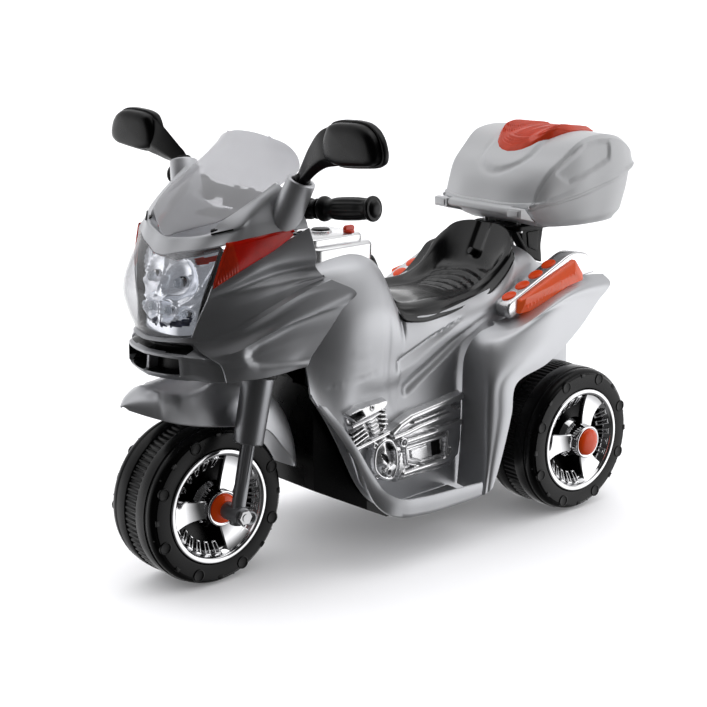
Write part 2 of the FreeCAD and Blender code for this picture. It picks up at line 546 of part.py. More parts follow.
cowl_half = [
    [(576, 0, 424), (575, 8, 423), (573, 16, 421), (570, 23, 417)],
    [(562, 0, 434), (562, 24, 434), (561, 42, 432), (559, 53, 424)],
    [(547, 0, 444), (547, 46, 446), (547, 78, 446), (546, 91, 438)],
    [(520, 0, 460), (520, 56, 461), (520, 88, 456), (520, 100, 441)],
    [(490, 0, 476), (490, 62, 476), (490, 97, 467), (490, 106, 444)],
    [(465, 0, 487), (465, 64, 486), (465, 103, 472), (465, 111, 448)],
]
cowl = grid_solid(full(cowl_half), SKIN, (510, 0, 420))
mb, mt = V(*MIRROR_BASE), V(*MIRROR_TOP)
md = mt - mb
ML = md.Length
md.normalize()
sock_l = Part.makeCone(17, 14.5, ML, mb, md)
cowl = cowl.fuse(sock_l).fuse(mirror(sock_l))
bore_l = Part.makeCylinder(SOCKET_R, 27, mt - md * 26, md)
cowl = cowl.cut(bore_l).cut(mirror(bore_l)).removeSplitter()
parts["upper_cowl"] = cowl

lens_half = [
    [(599, 0, 317), (591, 30, 319), (579.5, 50, 326)],
    [(613, 0, 343), (604, 34, 343), (575, 60, 343)],
    [(617, 0, 370), (609, 38, 369), (571, 69, 366)],
    [(602, 0, 395), (595, 42, 398), (563, 78, 398)],
    [(583, 0, 411), (574, 40, 419), (553, 84, 430)],
]
parts["headlamp_lens"] = grid_solid(full(lens_half), 2.0, (540, 0, 370))
refl_half = [
    [(586, 0, 322), (581, 26, 324), (571, 45, 329)],
    [(583, 0, 345), (578, 30, 345), (562, 54, 346)],
    [(581, 0, 370), (575, 34, 369), (555, 62, 368)],
    [(572, 0, 390), (566, 36, 393), (548, 70, 398)],
    [(563, 0, 402), (555, 34, 409), (541, 76, 422)],
]
parts["headlamp_reflector"] = grid_solid(full(refl_half), 2.0, (520, 0, 370))
bulbs = []
for x, y, z in ((587, 18, 372), (587, -18, 372), (588, 14, 346), (588, -14, 346)):
    bulbs.append(Part.makeCylinder(6, 5, V(x, y, z), V(1, 0, 0)).fuse(Part.makeSphere(5.9, V(x + 5, y, z))).removeSplitter())
parts["lamp_bulbs"] = Part.makeCompound(bulbs)

turn = [
    [(563, 81.5, 387), (545, 89, 398), (518, 96.5, 412), (490, 102.5, 425), (468, 106, 437)],
    [(557, 86, 411), (538, 93, 418), (514, 99.5, 426), (489, 104, 433), (467, 106.7, 440)],
    [(550, 90, 432.5), (532, 95.5, 435.5), (510, 101, 438.5), (488, 105, 441), (466.5, 107.5, 443)],
]
parts["turn_lenses"] = pair(grid_solid(turn, 2.0, (510, 20, 400)))

shield_c = [((573, 433), (566, 17, 437)), ((560, 448), (545, 62, 453)), ((533, 475), (510, 83, 476)), ((498, 505), (470, 88, 499)),
            ((468, 531), (446, 76, 518)), ((453, 545), (449, 48, 540))]
shield_half = []
for (cx, cz), (ex, ey, ez) in shield_c:
    row = []
    for f in (0.0, 0.36, 0.7, 1.0):
        g = f ** 2.2
        row.append((cx + (ex - cx) * g, ey * f, cz + (ez - cz) * g))
    shield_half.append(row)
parts["windshield"] = grid_solid(full(shield_half), 2.4, (470, 0, 440))

# ---- mirrors -----------------------------------------------------------------------------------
head_pts = [(160, 531), (166, 524), (205, 522), (246, 531), (262, 545), (264, 560), (255, 572), (225, 578), (180, 572), (163, 556)]


def rear_mirror(drop):
    """Left-hand mirror and its foil; drop lowers the head and the elbow below the usual height."""
    hp = [(y, z - drop) for y, z in head_pts]
    hd = prism_x(hp, 458, 479)
    stem = Part.makeCylinder(STEM_R, ML + 4 - (ML - 24), mt - md * 24, md)
    top = mt + md * 4
    elbow = V(463, 150, 536 - drop)
    arm = rod((top.x, top.y, top.z), (elbow.x, elbow.y, elbow.z), 9.0).fuse(Part.makeSphere(9.94, top)).fuse(Part.makeSphere(9.0, elbow))
    arm = arm.fuse(rod((elbow.x, elbow.y, elbow.z), (467, 176, 547 - drop), 9.0))
    inset = [(205 + (y - 209) * 0.88 + 4, 550 - drop + (z - 550 + drop) * 0.84) for y, z in hp]
    body = hd.fuse(stem).fuse(arm).cut(prism_x(inset, 450, 460.5)).removeSplitter()
    gl_in = [(209 + (y - 209) * 0.985, 550 - drop + (z - 550 + drop) * 0.985) for y, z in inset]
    return body, prism_x(gl_in, 458.6, 460.5)


MIRROR_DROP = 18.0
mir, glass = rear_mirror(0.0)
mir_r, glass_r = rear_mirror(MIRROR_DROP)
parts["mirror_left"] = mir
parts["mirror_right"] = mirror(mir_r)
parts["mirror_glass_left"] = glass
parts["mirror_glass_right"] = mirror(glass_r)

# ---- drive train: motor pinion, idler, drive gear on the right rear wheel ------------------------
C2 = M2 * (IDLER_SMALL_T + DRIVE_T) / 2.0
C1 = M1 * (PINION_T + IDLER_BIG_T) / 2.0
IX, IZ = C2, WHEEL_R
PA = 40.0
PX, PZ = IX + C1 * math.cos(math.radians(PA)), IZ + C1 * math.sin(math.radians(PA))
drive = gear(DRIVE_T, M2, GEAR_Y0, GEAR_Y1, 0, WHEEL_R, 0.0, AXLE_R + RUN)
drive = drive.fuse(ytube(0, WHEEL_R, AXLE_R + RUN, 12.0, -70, GEAR_Y0 + 1)).removeSplitter()
parts["drive_gear"] = drive
small = gear(IDLER_SMALL_T, M2, GEAR_Y0, STAGE_Y0 + 0.5, IX, IZ, 180.0 + 180.0 / IDLER_SMALL_T, 2.55)
big = gear(IDLER_BIG_T, M1, STAGE_Y0, STAGE_Y1, IX, IZ, PA, 2.55)
parts["idler_gear"] = small.fuse(big).removeSplitter()
pin_g = gear(PINION_T, M1, STAGE_Y0, STAGE_Y1, PX, PZ, PA + 180.0 + 180.0 / PINION_T, 1.0)
pin_g = pin_g.fuse(ycyl(PX, PZ, 1.5, STAGE_Y0, -8)).removeSplitter()
parts["motor_pinion"] = pin_g
can = ycyl(PX, PZ, MOTOR_R, -23.3, -23.3 + MOTOR_L).fuse(ycyl(PX, PZ, 5, -26, -23.3)).fuse(ycyl(PX, PZ, 5, 21, 25))
can = can.cut(ycyl(PX, PZ, 1.55, -30, -5))
parts["motor"] = can.removeSplitter()
outer = [(-34, 63), (66, 63), (80, 80), (80, 126), (70, 140), (-26, 140), (-40, 126), (-40, 72)]
inner = [(-31.5, 65.5), (64.8, 65.5), (77.3, 81), (77.3, 125), (68.8, 137.4), (-25, 137.4), (-37.4, 125), (-37.4, 73)]
GS = [(-30.0, 133.0 - 66.0 + 1), (72.0, 76.0)]
shellbox = prism_y(outer, -50.4, -23.6).cut(prism_y(inner, -48, -26))
shellbox = shellbox.cut(ycyl(0, WHEEL_R, 12.6, -60, -45)).cut(ycyl(0, WHEEL_R, AXLE_R, -30, -20))
shellbox = shellbox.cut(ycyl(IX, IZ, 2.5, -60, -10)).cut(ycyl(PX, PZ, 5.0, -30, -20))
parts["gearbox_cover"] = shellbox.common(box(-100, 200, -60, -36.5, 0, 300))
case = shellbox.common(box(-100, 200, -36.5, 0, 0, 300)).fuse(ycyl(IX, IZ, 2.5, -50.0, -23.6))
parts["gearbox_case"] = case.removeSplitter()

# ---- electrics on the tub floor --------------------------------------------------------------------
bl, bw, bh = BATTERY
bat = box(132, 132 + bl, -bw / 2, bw / 2, 43, 43 + bh)
bat = bat.fuse(box(140, 150, -12, -6, 43 + bh, 43 + bh + 5)).fuse(box(140, 150, 6, 12, 43 + bh, 43 + bh + 5))
parts["battery"] = bat.removeSplitter()
parts["control_box"] = box(225, 285, -24, 24, 43, 70).cut(box(228, 282, -21, 21, 46, 67))

# accelerator pedal in the right foot rest
PPX, PPZ, PY0, PY1 = 236.0, 74.0, -134.0, -104.0
pb = box(228, 282, PY0 - 6, PY1 + 6, 61.5, 64.5)
for a, b in ((PY0 - 6, PY0 - 1), (PY1 + 1, PY1 + 6)):
    pb = pb.fuse(prism_y([(228, 63), (244, 63), (241, 79), (231, 79)], a, b))
pb = pb.fuse(box(262, 280, -125, -113, 64, 69)).cut(ycyl(PPX, PPZ, 2.55, PY0 - 10, PY1 + 10))
parts["pedal_bracket"] = pb.removeSplitter()
ped = ycyl(PPX, PPZ, 5.5, PY0, PY1).fuse(prism_y([(PPX, 75), (PPX + 6, 71), (296, 83), (294, 91), (PPX, 79.5)], PY0, PY1))
parts["accelerator_pedal"] = ped.fuse(ycyl(PPX, PPZ, 2.5, PY0 - 5.5, PY1 + 5.5)).removeSplitter()

# ---- write the pieces -------------------------------------------------------------------------------
os.makedirs("parts", exist_ok=True)
lo = min(s.BoundBox.XMin for s in (parts["top_case_base"], parts["top_case_lid"]))
hi = parts["front_mudguard"].BoundBox.XMax
SHIFT = -(lo + hi) / 2.0
for name, s in parts.items():
    s = s.copy()
    s.translate(V(SHIFT, 0, 0))
    s.exportStep("parts/%s.step" % name)
    bad = [k for k, b in enumerate(s.Solids) if not b.isValid() or b.Volume <= 0]
    if bad or not s.Solids:
        print("CHECK", name, len(s.Solids), bad)
print("pieces", len(parts), "shift", round(SHIFT, 4))
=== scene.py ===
import bpy
import bmesh
import json
import math
import numpy as np
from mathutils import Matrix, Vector


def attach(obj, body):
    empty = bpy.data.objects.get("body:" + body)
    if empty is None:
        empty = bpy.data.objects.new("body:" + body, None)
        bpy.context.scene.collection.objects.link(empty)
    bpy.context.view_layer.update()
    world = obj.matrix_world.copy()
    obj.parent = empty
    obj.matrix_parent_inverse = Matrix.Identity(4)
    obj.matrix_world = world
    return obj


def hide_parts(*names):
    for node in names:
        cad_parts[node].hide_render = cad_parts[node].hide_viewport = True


# Visual model of the ride-on motorbike.  Millimetres are measured from the rear axle
# (x forward, y to the left, z up) and turned into the shared frame by to_frame().
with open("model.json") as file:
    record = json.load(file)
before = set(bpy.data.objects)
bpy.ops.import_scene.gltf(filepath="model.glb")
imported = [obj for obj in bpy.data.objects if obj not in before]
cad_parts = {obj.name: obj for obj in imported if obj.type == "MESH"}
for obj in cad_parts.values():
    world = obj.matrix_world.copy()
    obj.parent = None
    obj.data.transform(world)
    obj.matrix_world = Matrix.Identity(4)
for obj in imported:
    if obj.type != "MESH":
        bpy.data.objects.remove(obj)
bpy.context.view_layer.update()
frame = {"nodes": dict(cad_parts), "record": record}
NODES = frame["nodes"]
SHIFT = -233.5
Q = 1.0


def to_frame(v):
    v = np.asarray(v, float)
    out = v.copy()
    out[..., 0] += SHIFT
    return out / 1000.0


# ---------------------------------------------------------------- curves and surfaces
def along(P, step, brk=()):
    """Smooth curves down the rows of P (n, m, 3), about one sample per step; brk holds the rows
    (or {column: rows}) where a curve may turn sharply."""
    P = np.asarray(P, float)
    n, m = P.shape[:2]
    L = np.linalg.norm(np.diff(P, axis=0), axis=2).mean(1) + 1e-9
    sec = np.diff(P, axis=0) / L[:, None, None]
    T = np.zeros_like(P)
    for i in range(1, n - 1):
        a, b = L[i - 1], L[i]
        T[i] = (sec[i - 1] * b + sec[i] * a) / (a + b)
    if n > 2:
        T[0] = (3 * sec[0] - T[1]) / 2
        T[-1] = (3 * sec[-1] - T[-2]) / 2
    else:
        T[0] = T[-1] = sec[0]
    tin, tout = T.copy(), T.copy()
    cols = brk if isinstance(brk, dict) else {j: brk for j in range(m)}
    for j, rows in cols.items():
        for i in rows:
            if 0 < i < n - 1:
                tin[i, j] = sec[i - 1, j]
                tout[i, j] = sec[i, j]
    out = [P[0]]
    for i in range(n - 1):
        k = max(1, int(round(L[i] / step)))
        for s in range(1, k + 1):
            u = s / k
            h00, h10 = 2 * u ** 3 - 3 * u ** 2 + 1, u ** 3 - 2 * u ** 2 + u
            h01, h11 = -2 * u ** 3 + 3 * u ** 2, u ** 3 - u ** 2
            out.append(h00 * P[i] + h10 * L[i] * tout[i] + h01 * P[i + 1] + h11 * L[i] * tin[i + 1])
    return np.array(out)


def surf(P, su, sv, bu=(), bv=()):
    S = along(P, su * Q, bu)
    return along(S.transpose(1, 0, 2), sv * Q, bv).transpose(1, 0, 2)


def resample(line, n, step=2.0):
    """A smooth curve through the points, as n points evenly spaced along it."""
    c = along(np.array([[q] for q in line], float), step)[:, 0]
    t = np.concatenate([[0], np.cumsum(np.linalg.norm(np.diff(c, axis=0), axis=1))])
    u = np.linspace(0, t[-1], n)
    return np.stack([np.interp(u, t, c[:, k]) for k in range(3)], 1)


def lines(rows, nv, su, bu=()):
    """Skin over feature lines: each row is drawn smooth, then the rows are joined, sharp at the rows in bu."""
    nv = max(6, int(round(nv / Q)))
    return along(np.array([resample(r, nv) for r in rows]), su * Q, bu)


def full(half):
    """Half rows from the middle plane outwards become whole-width rows."""
    out = []
    for row in half:
        out.append([tuple(p) for p in reversed(row)] + [(p[0], -p[1], p[2]) for p in row[1:]])
    return out


def normals(S, inside):
    n = np.cross(np.gradient(S, axis=0), np.gradient(S, axis=1))
    n /= np.linalg.norm(n, axis=2)[..., None] + 1e-12
    if ((S - np.asarray(inside, float)) * n).sum() < 0:
        n = -n
    return n


def smooth(x, a, b):
    u = np.clip((x - a) / (b - a), 0, 1)
    return u * u * (3 - 2 * u)


def pl(X, Z, line):
    """Distance to a polyline, signed side (positive to the left of its direction) and place along it (0 to 1)."""
    line = np.asarray(line, float)
    seg = np.diff(line, axis=0)
    ln = np.linalg.norm(seg, axis=1)
    cum = np.concatenate([[0], np.cumsum(ln)])
    best = np.full(X.shape, 1e9)
    side = np.zeros(X.shape)
    pos = np.zeros(X.shape)
    for k in range(len(seg)):
        dx, dz = X - line[k, 0], Z - line[k, 1]
        t = np.clip((dx * seg[k, 0] + dz * seg[k, 1]) / ln[k] ** 2, 0, 1)
        d = np.hypot(dx - t * seg[k, 0], dz - t * seg[k, 1])
        s = np.sign(seg[k, 0] * dz - seg[k, 1] * dx)
        m = d < best
        best = np.where(m, d, best)
        side = np.where(m, s, side)
        pos = np.where(m, (cum[k] + t * ln[k]) / cum[-1], pos)
    return best, side, pos


def inpoly(X, Z, poly):
    """Signed distance to a polygon, positive inside."""
    poly = [tuple(p) for p in poly]
    d = pl(X, Z, poly + [poly[0]])[0]
    ins = np.zeros(X.shape, bool)
    n = len(poly)
    for k in range(n):
        (x0, z0), (x1, z1) = poly[k], poly[(k + 1) % n]
        c = ((z0 > Z) != (z1 > Z)) & (X < (x1 - x0) * (Z - z0) / ((z1 - z0) if z1 != z0 else 1e-9) + x0)
        ins ^= c
    return np.where(ins, d, -d)


def groove(X, Z, line, depth, w, fade=0.12):
    d, s, p = pl(X, Z, line)
    e = smooth(p, 0.0, fade) * smooth(1 - p, 0.0, fade) if fade else 1.0
    return -depth * np.exp(-(d / w) ** 2) * e


def recess(X, Z, poly, depth, wall):
    return -depth * smooth(inpoly(X, Z, poly), -wall * 0.2, wall)


# ---------------------------------------------------------------- mesh building
class Mesh:
    def __init__(self):
        self.v, self.f, self.m, self.n = [], [], [], 0

    def add(self, verts, faces, mat=0):
        verts = np.asarray(verts, float).reshape(-1, 3)
        base = self.n
        self.v.append(verts)
        self.n += len(verts)
        for i, f in enumerate(faces):
            self.f.append([base + k for k in f])
            self.m.append(mat if np.isscalar(mat) else int(mat[i]))
        return base

    def grid(self, S, mat=0, cu=False, cv=False, cap0=False, cap1=False):
        a, b = S.shape[:2]
        F, M = [], []
        sc = np.isscalar(mat)
        for i in range(a if cu else a - 1):
            for j in range(b if cv else b - 1):
                i1, j1 = (i + 1) % a, (j + 1) % b
                F.append((i * b + j, i1 * b + j, i1 * b + j1, i * b + j1))
                M.append(mat if sc else int(mat[i, j]))
        if cap0:
            F.append(tuple(range(b)))
            M.append(mat if sc else int(mat[0, 0]))
        if cap1:
            F.append(tuple((a - 1) * b + k for k in reversed(range(b))))
            M.append(mat if sc else int(mat[-1, 0]))
        self.add(S.reshape(-1, 3), F, M)

    def shell(self, S, t, inside, mat=0, cv=False, N=None, inner=None):
        """Skin with a rounded rim: S outside, an offset layer inside."""
        if N is None:
            N = normals(S, inside)
        I = S - N * t
        self.grid(S, mat, cv=cv)
        self.grid(I[::2, ::2] if False else I, mat if inner is None else inner, cv=cv)
        edges = []
        if not cv:
            edges += [(S[:, 0], I[:, 0], S[:, 1]), (S[:, -1], I[:, -1], S[:, -2])]
        edges += [(S[0], I[0], S[1]), (S[-1], I[-1], S[-2])]
        for o, i, nx in edges:
            if np.ptp(o, axis=0).max() < 1e-3:
                continue
            out = o - nx
            out /= np.linalg.norm(out, axis=1)[:, None] + 1e-9
            mid = (o + i) / 2 + out * t * 0.4
            m0 = 0 if not np.isscalar(mat) else mat
            self.grid(np.array([o, mid, i]), m0, cv=cv and len(o) == S.shape[1])

    def flip_copy(self):
        """Adds the mirror image in the middle plane."""
        V = np.concatenate(self.v)
        F = [f[:] for f in self.f]
        M = self.m[:]
        self.add(V * np.array([1, -1, 1]), [f[::-1] for f in F], M)
        return self

    def mirrored(self):
        o = Mesh()
        o.add(np.concatenate(self.v) * np.array([1, -1, 1]), [f[::-1] for f in self.f], self.m[:])
        return o

    def done(self, name, mats, body, slot, nodes=(), sharp=38, merge=0.02):
        me = bpy.data.meshes.new(name)
        V = to_frame(np.concatenate(self.v))
        me.from_pydata([tuple(p) for p in V], [], [tuple(f) for f in self.f])
        for m in (mats if isinstance(mats, (list, tuple)) else [mats]):
            me.materials.append(m)
        me.polygons.foreach_set("material_index", np.array(self.m, np.int32))
        bm = bmesh.new()
        bm.from_mesh(me)
        bmesh.ops.remove_doubles(bm, verts=bm.verts, dist=merge / 1000.0)
        bmesh.ops.dissolve_degenerate(bm, edges=bm.edges, dist=1e-6)
        bmesh.ops.recalc_face_normals(bm, faces=bm.faces)
        bm.to_mesh(me)
        bm.free()
        me.polygons.foreach_set("use_smooth", np.ones(len(me.polygons), bool))
        me.set_sharp_from_angle(angle=math.radians(sharp))
        ob = bpy.data.objects.new(name, me)
        bpy.context.scene.collection.objects.link(ob)
        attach(ob, body)
        if nodes:
            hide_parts(*nodes)
        return ob


def basis(axis):
    a = np.asarray(axis, float)
    a = a / np.linalg.norm(a)
    h = np.array([0, 0, 1.0]) if abs(a[2]) < 0.9 else np.array([1.0, 0, 0])
    e1 = np.cross(h, a)
    e1 /= np.linalg.norm(e1)
    return a, e1, np.cross(a, e1)


def lathe(prof, c, axis, n=64, sx=1.0, sy=1.0, e=None):
    """Rings of radius r at height h along an axis, from (r, h) pairs."""
    a, e1, e2 = basis(axis) if e is None else (np.asarray(axis, float) / np.linalg.norm(axis), np.asarray(e[0], float), np.asarray(e[1], float))
    th = np.linspace(0, 2 * math.pi, n, endpoint=False)
    c = np.asarray(c, float)
    ring = np.cos(th)[:, None] * e1 * sx + np.sin(th)[:, None] * e2 * sy
    return np.array([c + a * h + ring * max(r, 1e-4) for r, h in prof])


def rprof(pts, r=1.0, n=4):
    """Profile polyline with its corners rounded."""
    pts = [np.asarray(p, float) for p in pts]
    out = [pts[0]]
    for i in range(1, len(pts) - 1):
        p, a, b = pts[i], pts[i - 1], pts[i + 1]
        la, lb = np.linalg.norm(a - p), np.linalg.norm(b - p)
        rr = min(r, la * 0.45, lb * 0.45)
        A, B = p + (a - p) / la * rr, p + (b - p) / lb * rr
        for k in range(n + 1):
            u = k / n
            out.append((1 - u) ** 2 * A + 2 * u * (1 - u) * p + u * u * B)
    out.append(pts[-1])
    return out


def rpoly(poly, r, n=4):
    """Closed polygon with rounded corners; r may be a number or one per corner."""
    pts = [np.asarray(p, float) for p in poly]
    k = len(pts)
    rs = [r] * k if np.isscalar(r) else list(r)
    out = []
    for i in range(k):
        p, a, b = pts[i], pts[i - 1], pts[(i + 1) % k]
        la, lb = np.linalg.norm(a - p), np.linalg.norm(b - p)
        rr = min(rs[i], la * 0.47, lb * 0.47)
        A, B = p + (a - p) / la * rr, p + (b - p) / lb * rr
        for s in range(n + 1):
            u = s / n
            out.append((1 - u) ** 2 * A + 2 * u * (1 - u) * p + u * u * B)
    return np.array(out)


def inset(ring, d):
    nx = np.roll(ring, -1, axis=0) - np.roll(ring, 1, axis=0)
    nx /= np.linalg.norm(nx, axis=1)[:, None] + 1e-9
    area = 0.5 * np.sum(ring[:, 0] * np.roll(ring[:, 1], -1) - np.roll(ring[:, 0], -1) * ring[:, 1])
    nor = np.stack([-nx[:, 1], nx[:, 0]], 1) * (1 if area > 0 else -1)
    return ring + nor * d


def place(ring, axis, h):
    h = np.full(len(ring), float(h)) if np.isscalar(h) else h
    if axis == "y":
        return np.stack([ring[:, 0], h, ring[:, 1]], 1)
    if axis == "z":
        return np.stack([ring[:, 0], ring[:, 1], h], 1)
    return np.stack([h, ring[:, 0], ring[:, 1]], 1)


def prism(M, poly, a, b, axis="y", r=2.0, e=1.2, mat=0, n=4, ne=3, both=False):
    """Prism with rounded corners and a rounded edge at the end b (and at a, if both)."""
    ring = rpoly(poly, r, n)
    sg = 1 if b > a else -1
    rows = []
    if both:
        for k in range(ne):
            t = math.pi / 2 * (1 - k / ne)
            rows.append(place(inset(ring, e * (1 - math.cos(t))), axis, a + sg * e * (1 - math.sin(t))))
    else:
        rows.append(place(ring, axis, a))
    for k in range(ne + 1):
        t = math.pi / 2 * k / ne
        rows.append(place(inset(ring, e * (1 - math.cos(t))), axis, b - sg * e * (1 - math.sin(t))))
    M.grid(np.array(rows), mat, cv=True, cap0=True, cap1=True)


def dome(M, poly, a, b, axis="y", r=2.0, top=0.25, mat=0, n=4, k=8, p=2.2):
    """Pillow-shaped boss on a polygon: straight at a, closing over towards its middle at b."""
    ring = rpoly(poly, r, n)
    c = ring.mean(0)
    rows = [place(ring, axis, a)]
    for i in range(k + 1):
        t = math.pi / 2 * i / k
        s = math.cos(t) ** (2 / p)
        z = math.sin(t) ** (2 / p)
        rows.append(place(c + (ring - c) * (top + (1 - top) * s), axis, a + (b - a) * z))
    M.grid(np.array(rows), mat, cv=True, cap0=True, cap1=True)


def tube(path, rad, n=20, sy=1.0, up=None, step=None):
    """Round or oval bar swept on a path; rad is a number, a list, or pairs (across, along up)."""
    P = np.asarray(path, float)
    R = [(x, x) if np.isscalar(x) else x for x in (rad if isinstance(rad, (list, tuple)) else [rad] * len(P))]
    Z = np.concatenate([P, np.array(R, float)], 1)
    if step:
        Z = along(np.stack([Z, Z], 1)[:, :1], step)[:, 0]
    P, R = Z[:, :3], Z[:, 3:]
    T = np.gradient(P, axis=0)
    T /= np.linalg.norm(T, axis=1)[:, None]
    u = np.array(up if up is not None else (0, 0, 1), float)
    th = np.linspace(0, 2 * math.pi, n, endpoint=False)
    rows = []
    for p, t, (ra, rb) in zip(P, T, R):
        e1 = np.cross(t, u)
        e1 /= np.linalg.norm(e1)
        e2 = np.cross(e1, t)
        rows.append(p + np.cos(th)[:, None] * e1 * ra + np.sin(th)[:, None] * e2 * rb)
    return np.array(rows)


def box8(M, c, ax, size, mat=0, e=0.6):
    """Small bar with rounded long edges: centre, three directions, full sizes."""
    ex, ey, ez = [np.asarray(a, float) / np.linalg.norm(a) for a in ax]
    sx, sy, sz = [s / 2 for s in size]
    e = min(e, sx * 0.6, sy * 0.6, sz * 0.6)
    ring = rpoly([(-sx, -sy), (sx, -sy), (sx, sy), (-sx, sy)], e * 1.2, 2)
    rows = []
    for k, z in ((e, -sz), (e * 0.3, -sz + e * 0.3), (0, -sz + e), (0, sz - e), (e * 0.3, sz - e * 0.3), (e, sz)):
        q = inset(ring, k * 0.7)
        rows.append(np.asarray(c, float) + q[:, :1] * ex + q[:, 1:] * ey + z * ez)
    M.grid(np.array(rows), mat, cv=True, cap0=True, cap1=True)


# ---------------------------------------------------------------- materials
def srgb(*c):
    return tuple(((x / 255) / 12.92 if x / 255 <= 0.04045 else ((x / 255 + 0.055) / 1.055) ** 2.4) for x in c) + (1.0,)


def mat(name, col, rough=0.35, metal=0.0, vary=0.06, rvary=0.08, scale=60.0, bump=0.02, coat=0.0, spec=0.5, trans=0.0,
        ior=1.45, painted_glow=None, grain=900.0, fine=0.0):
    """Moulded or plated surface: mottled tint and gloss, a fine grain, and a painted glow where one is given."""
    m = bpy.data.materials.new(name)
    m.use_nodes = True
    nt = m.node_tree
    nd, lk = nt.nodes, nt.links
    p = nd["Principled BSDF"]
    tc = nd.new("ShaderNodeTexCoord")
    n1 = nd.new("ShaderNodeTexNoise")
    n1.inputs["Scale"].default_value = scale
    n1.inputs["Detail"].default_value = 4.0
    lk.new(tc.outputs["Object"], n1.inputs["Vector"])
    ramp = nd.new("ShaderNodeValToRGB")
    lo = tuple(max(0.0, c * (1 - vary)) for c in col[:3]) + (1.0,)
    hi = tuple(min(1.0, c * (1 + vary)) for c in col[:3]) + (1.0,)
    ramp.color_ramp.elements[0].position = 0.3
    ramp.color_ramp.elements[0].color = lo
    ramp.color_ramp.elements[1].position = 0.7
    ramp.color_ramp.elements[1].color = hi
    lk.new(n1.outputs["Fac"], ramp.inputs["Fac"])
    lk.new(ramp.outputs["Color"], p.inputs["Base Color"])
    n2 = nd.new("ShaderNodeTexNoise")
    n2.inputs["Scale"].default_value = scale * 0.37
    n2.inputs["Detail"].default_value = 6.0
    lk.new(tc.outputs["Object"], n2.inputs["Vector"])
    mr = nd.new("ShaderNodeMapRange")
    mr.inputs["From Min"].default_value = 0.3
    mr.inputs["From Max"].default_value = 0.7
    mr.inputs["To Min"].default_value = max(0.02, rough * (1 - rvary * 2))
    mr.inputs["To Max"].default_value = min(1.0, rough * (1 + rvary * 2))
    lk.new(n2.outputs["Fac"], mr.inputs["Value"])
    lk.new(mr.outputs["Result"], p.inputs["Roughness"])
    if bump:
        n3 = nd.new("ShaderNodeTexNoise")
        n3.inputs["Scale"].default_value = grain
        n3.inputs["Detail"].default_value = 2.0
        lk.new(tc.outputs["Object"], n3.inputs["Vector"])
        bp = nd.new("ShaderNodeBump")
        bp.inputs["Strength"].default_value = bump
        bp.inputs["Distance"].default_value = 0.0004
        lk.new(n3.outputs["Fac"], bp.inputs["Height"])
        lk.new(bp.outputs["Normal"], p.inputs["Normal"])
    p.inputs["Metallic"].default_value = metal
    p.inputs["IOR"].default_value = ior
    p.inputs["Specular IOR Level"].default_value = spec
    p.inputs["Coat Weight"].default_value = coat
    p.inputs["Coat Roughness"].default_value = 0.08
    p.inputs["Transmission Weight"].default_value = trans
    # painted glow: emission on surfaces that are not lamps
    if painted_glow:
        p.inputs["Emission Color"].default_value = painted_glow[0]
        p.inputs["Emission Strength"].default_value = painted_glow[1]
    return m


def clear(name, tint, haze=0.06, rim=0.55, gloss=0.04, gain=0.55):
    """Thin clear moulding: mostly see-through, a little milky, brighter where it is seen edge-on."""
    m = bpy.data.materials.new(name)
    m.use_nodes = True
    nt = m.node_tree
    nd, lk = nt.nodes, nt.links
    nd.remove(nd["Principled BSDF"])
    out = nd["Material Output"]
    tr = nd.new("ShaderNodeBsdfTransparent")
    tr.inputs["Color"].default_value = tint
    gl = nd.new("ShaderNodeBsdfGlossy")
    gl.inputs["Roughness"].default_value = gloss
    df = nd.new("ShaderNodeBsdfDiffuse")
    tc = nd.new("ShaderNodeTexCoord")
    n1 = nd.new("ShaderNodeTexNoise")
    n1.inputs["Scale"].default_value = 14.0
    lk.new(tc.outputs["Object"], n1.inputs["Vector"])
    cr = nd.new("ShaderNodeValToRGB")
    cr.color_ramp.elements[0].color = (0.78, 0.78, 0.80, 1)
    cr.color_ramp.elements[1].color = (0.95, 0.95, 0.97, 1)
    lk.new(n1.outputs["Fac"], cr.inputs["Fac"])
    lk.new(cr.outputs["Color"], df.inputs["Color"])
    lw = nd.new("ShaderNodeLayerWeight")
    lw.inputs["Blend"].default_value = 0.5

    def curve(power, gain, base):
        pw = nd.new("ShaderNodeMath")
        pw.operation = "POWER"
        lk.new(lw.outputs["Facing"], pw.inputs[0])
        pw.inputs[1].default_value = power
        ma = nd.new("ShaderNodeMath")
        ma.operation = "MULTIPLY_ADD"
        lk.new(pw.outputs[0], ma.inputs[0])
        ma.inputs[1].default_value = gain
        ma.inputs[2].default_value = base
        return ma

    mx = curve(2.6, rim, haze)
    m1 = nd.new("ShaderNodeMixShader")
    lk.new(mx.outputs[0], m1.inputs["Fac"])
    lk.new(tr.outputs[0], m1.inputs[1])
    lk.new(df.outputs[0], m1.inputs[2])
    fr = curve(4.0, gain, 0.035)
    m2 = nd.new("ShaderNodeMixShader")
    lk.new(fr.outputs[0], m2.inputs["Fac"])
    lk.new(m1.outputs[0], m2.inputs[1])
    lk.new(gl.outputs[0], m2.inputs[2])
    lk.new(m2.outputs[0], out.inputs["Surface"])
    return m


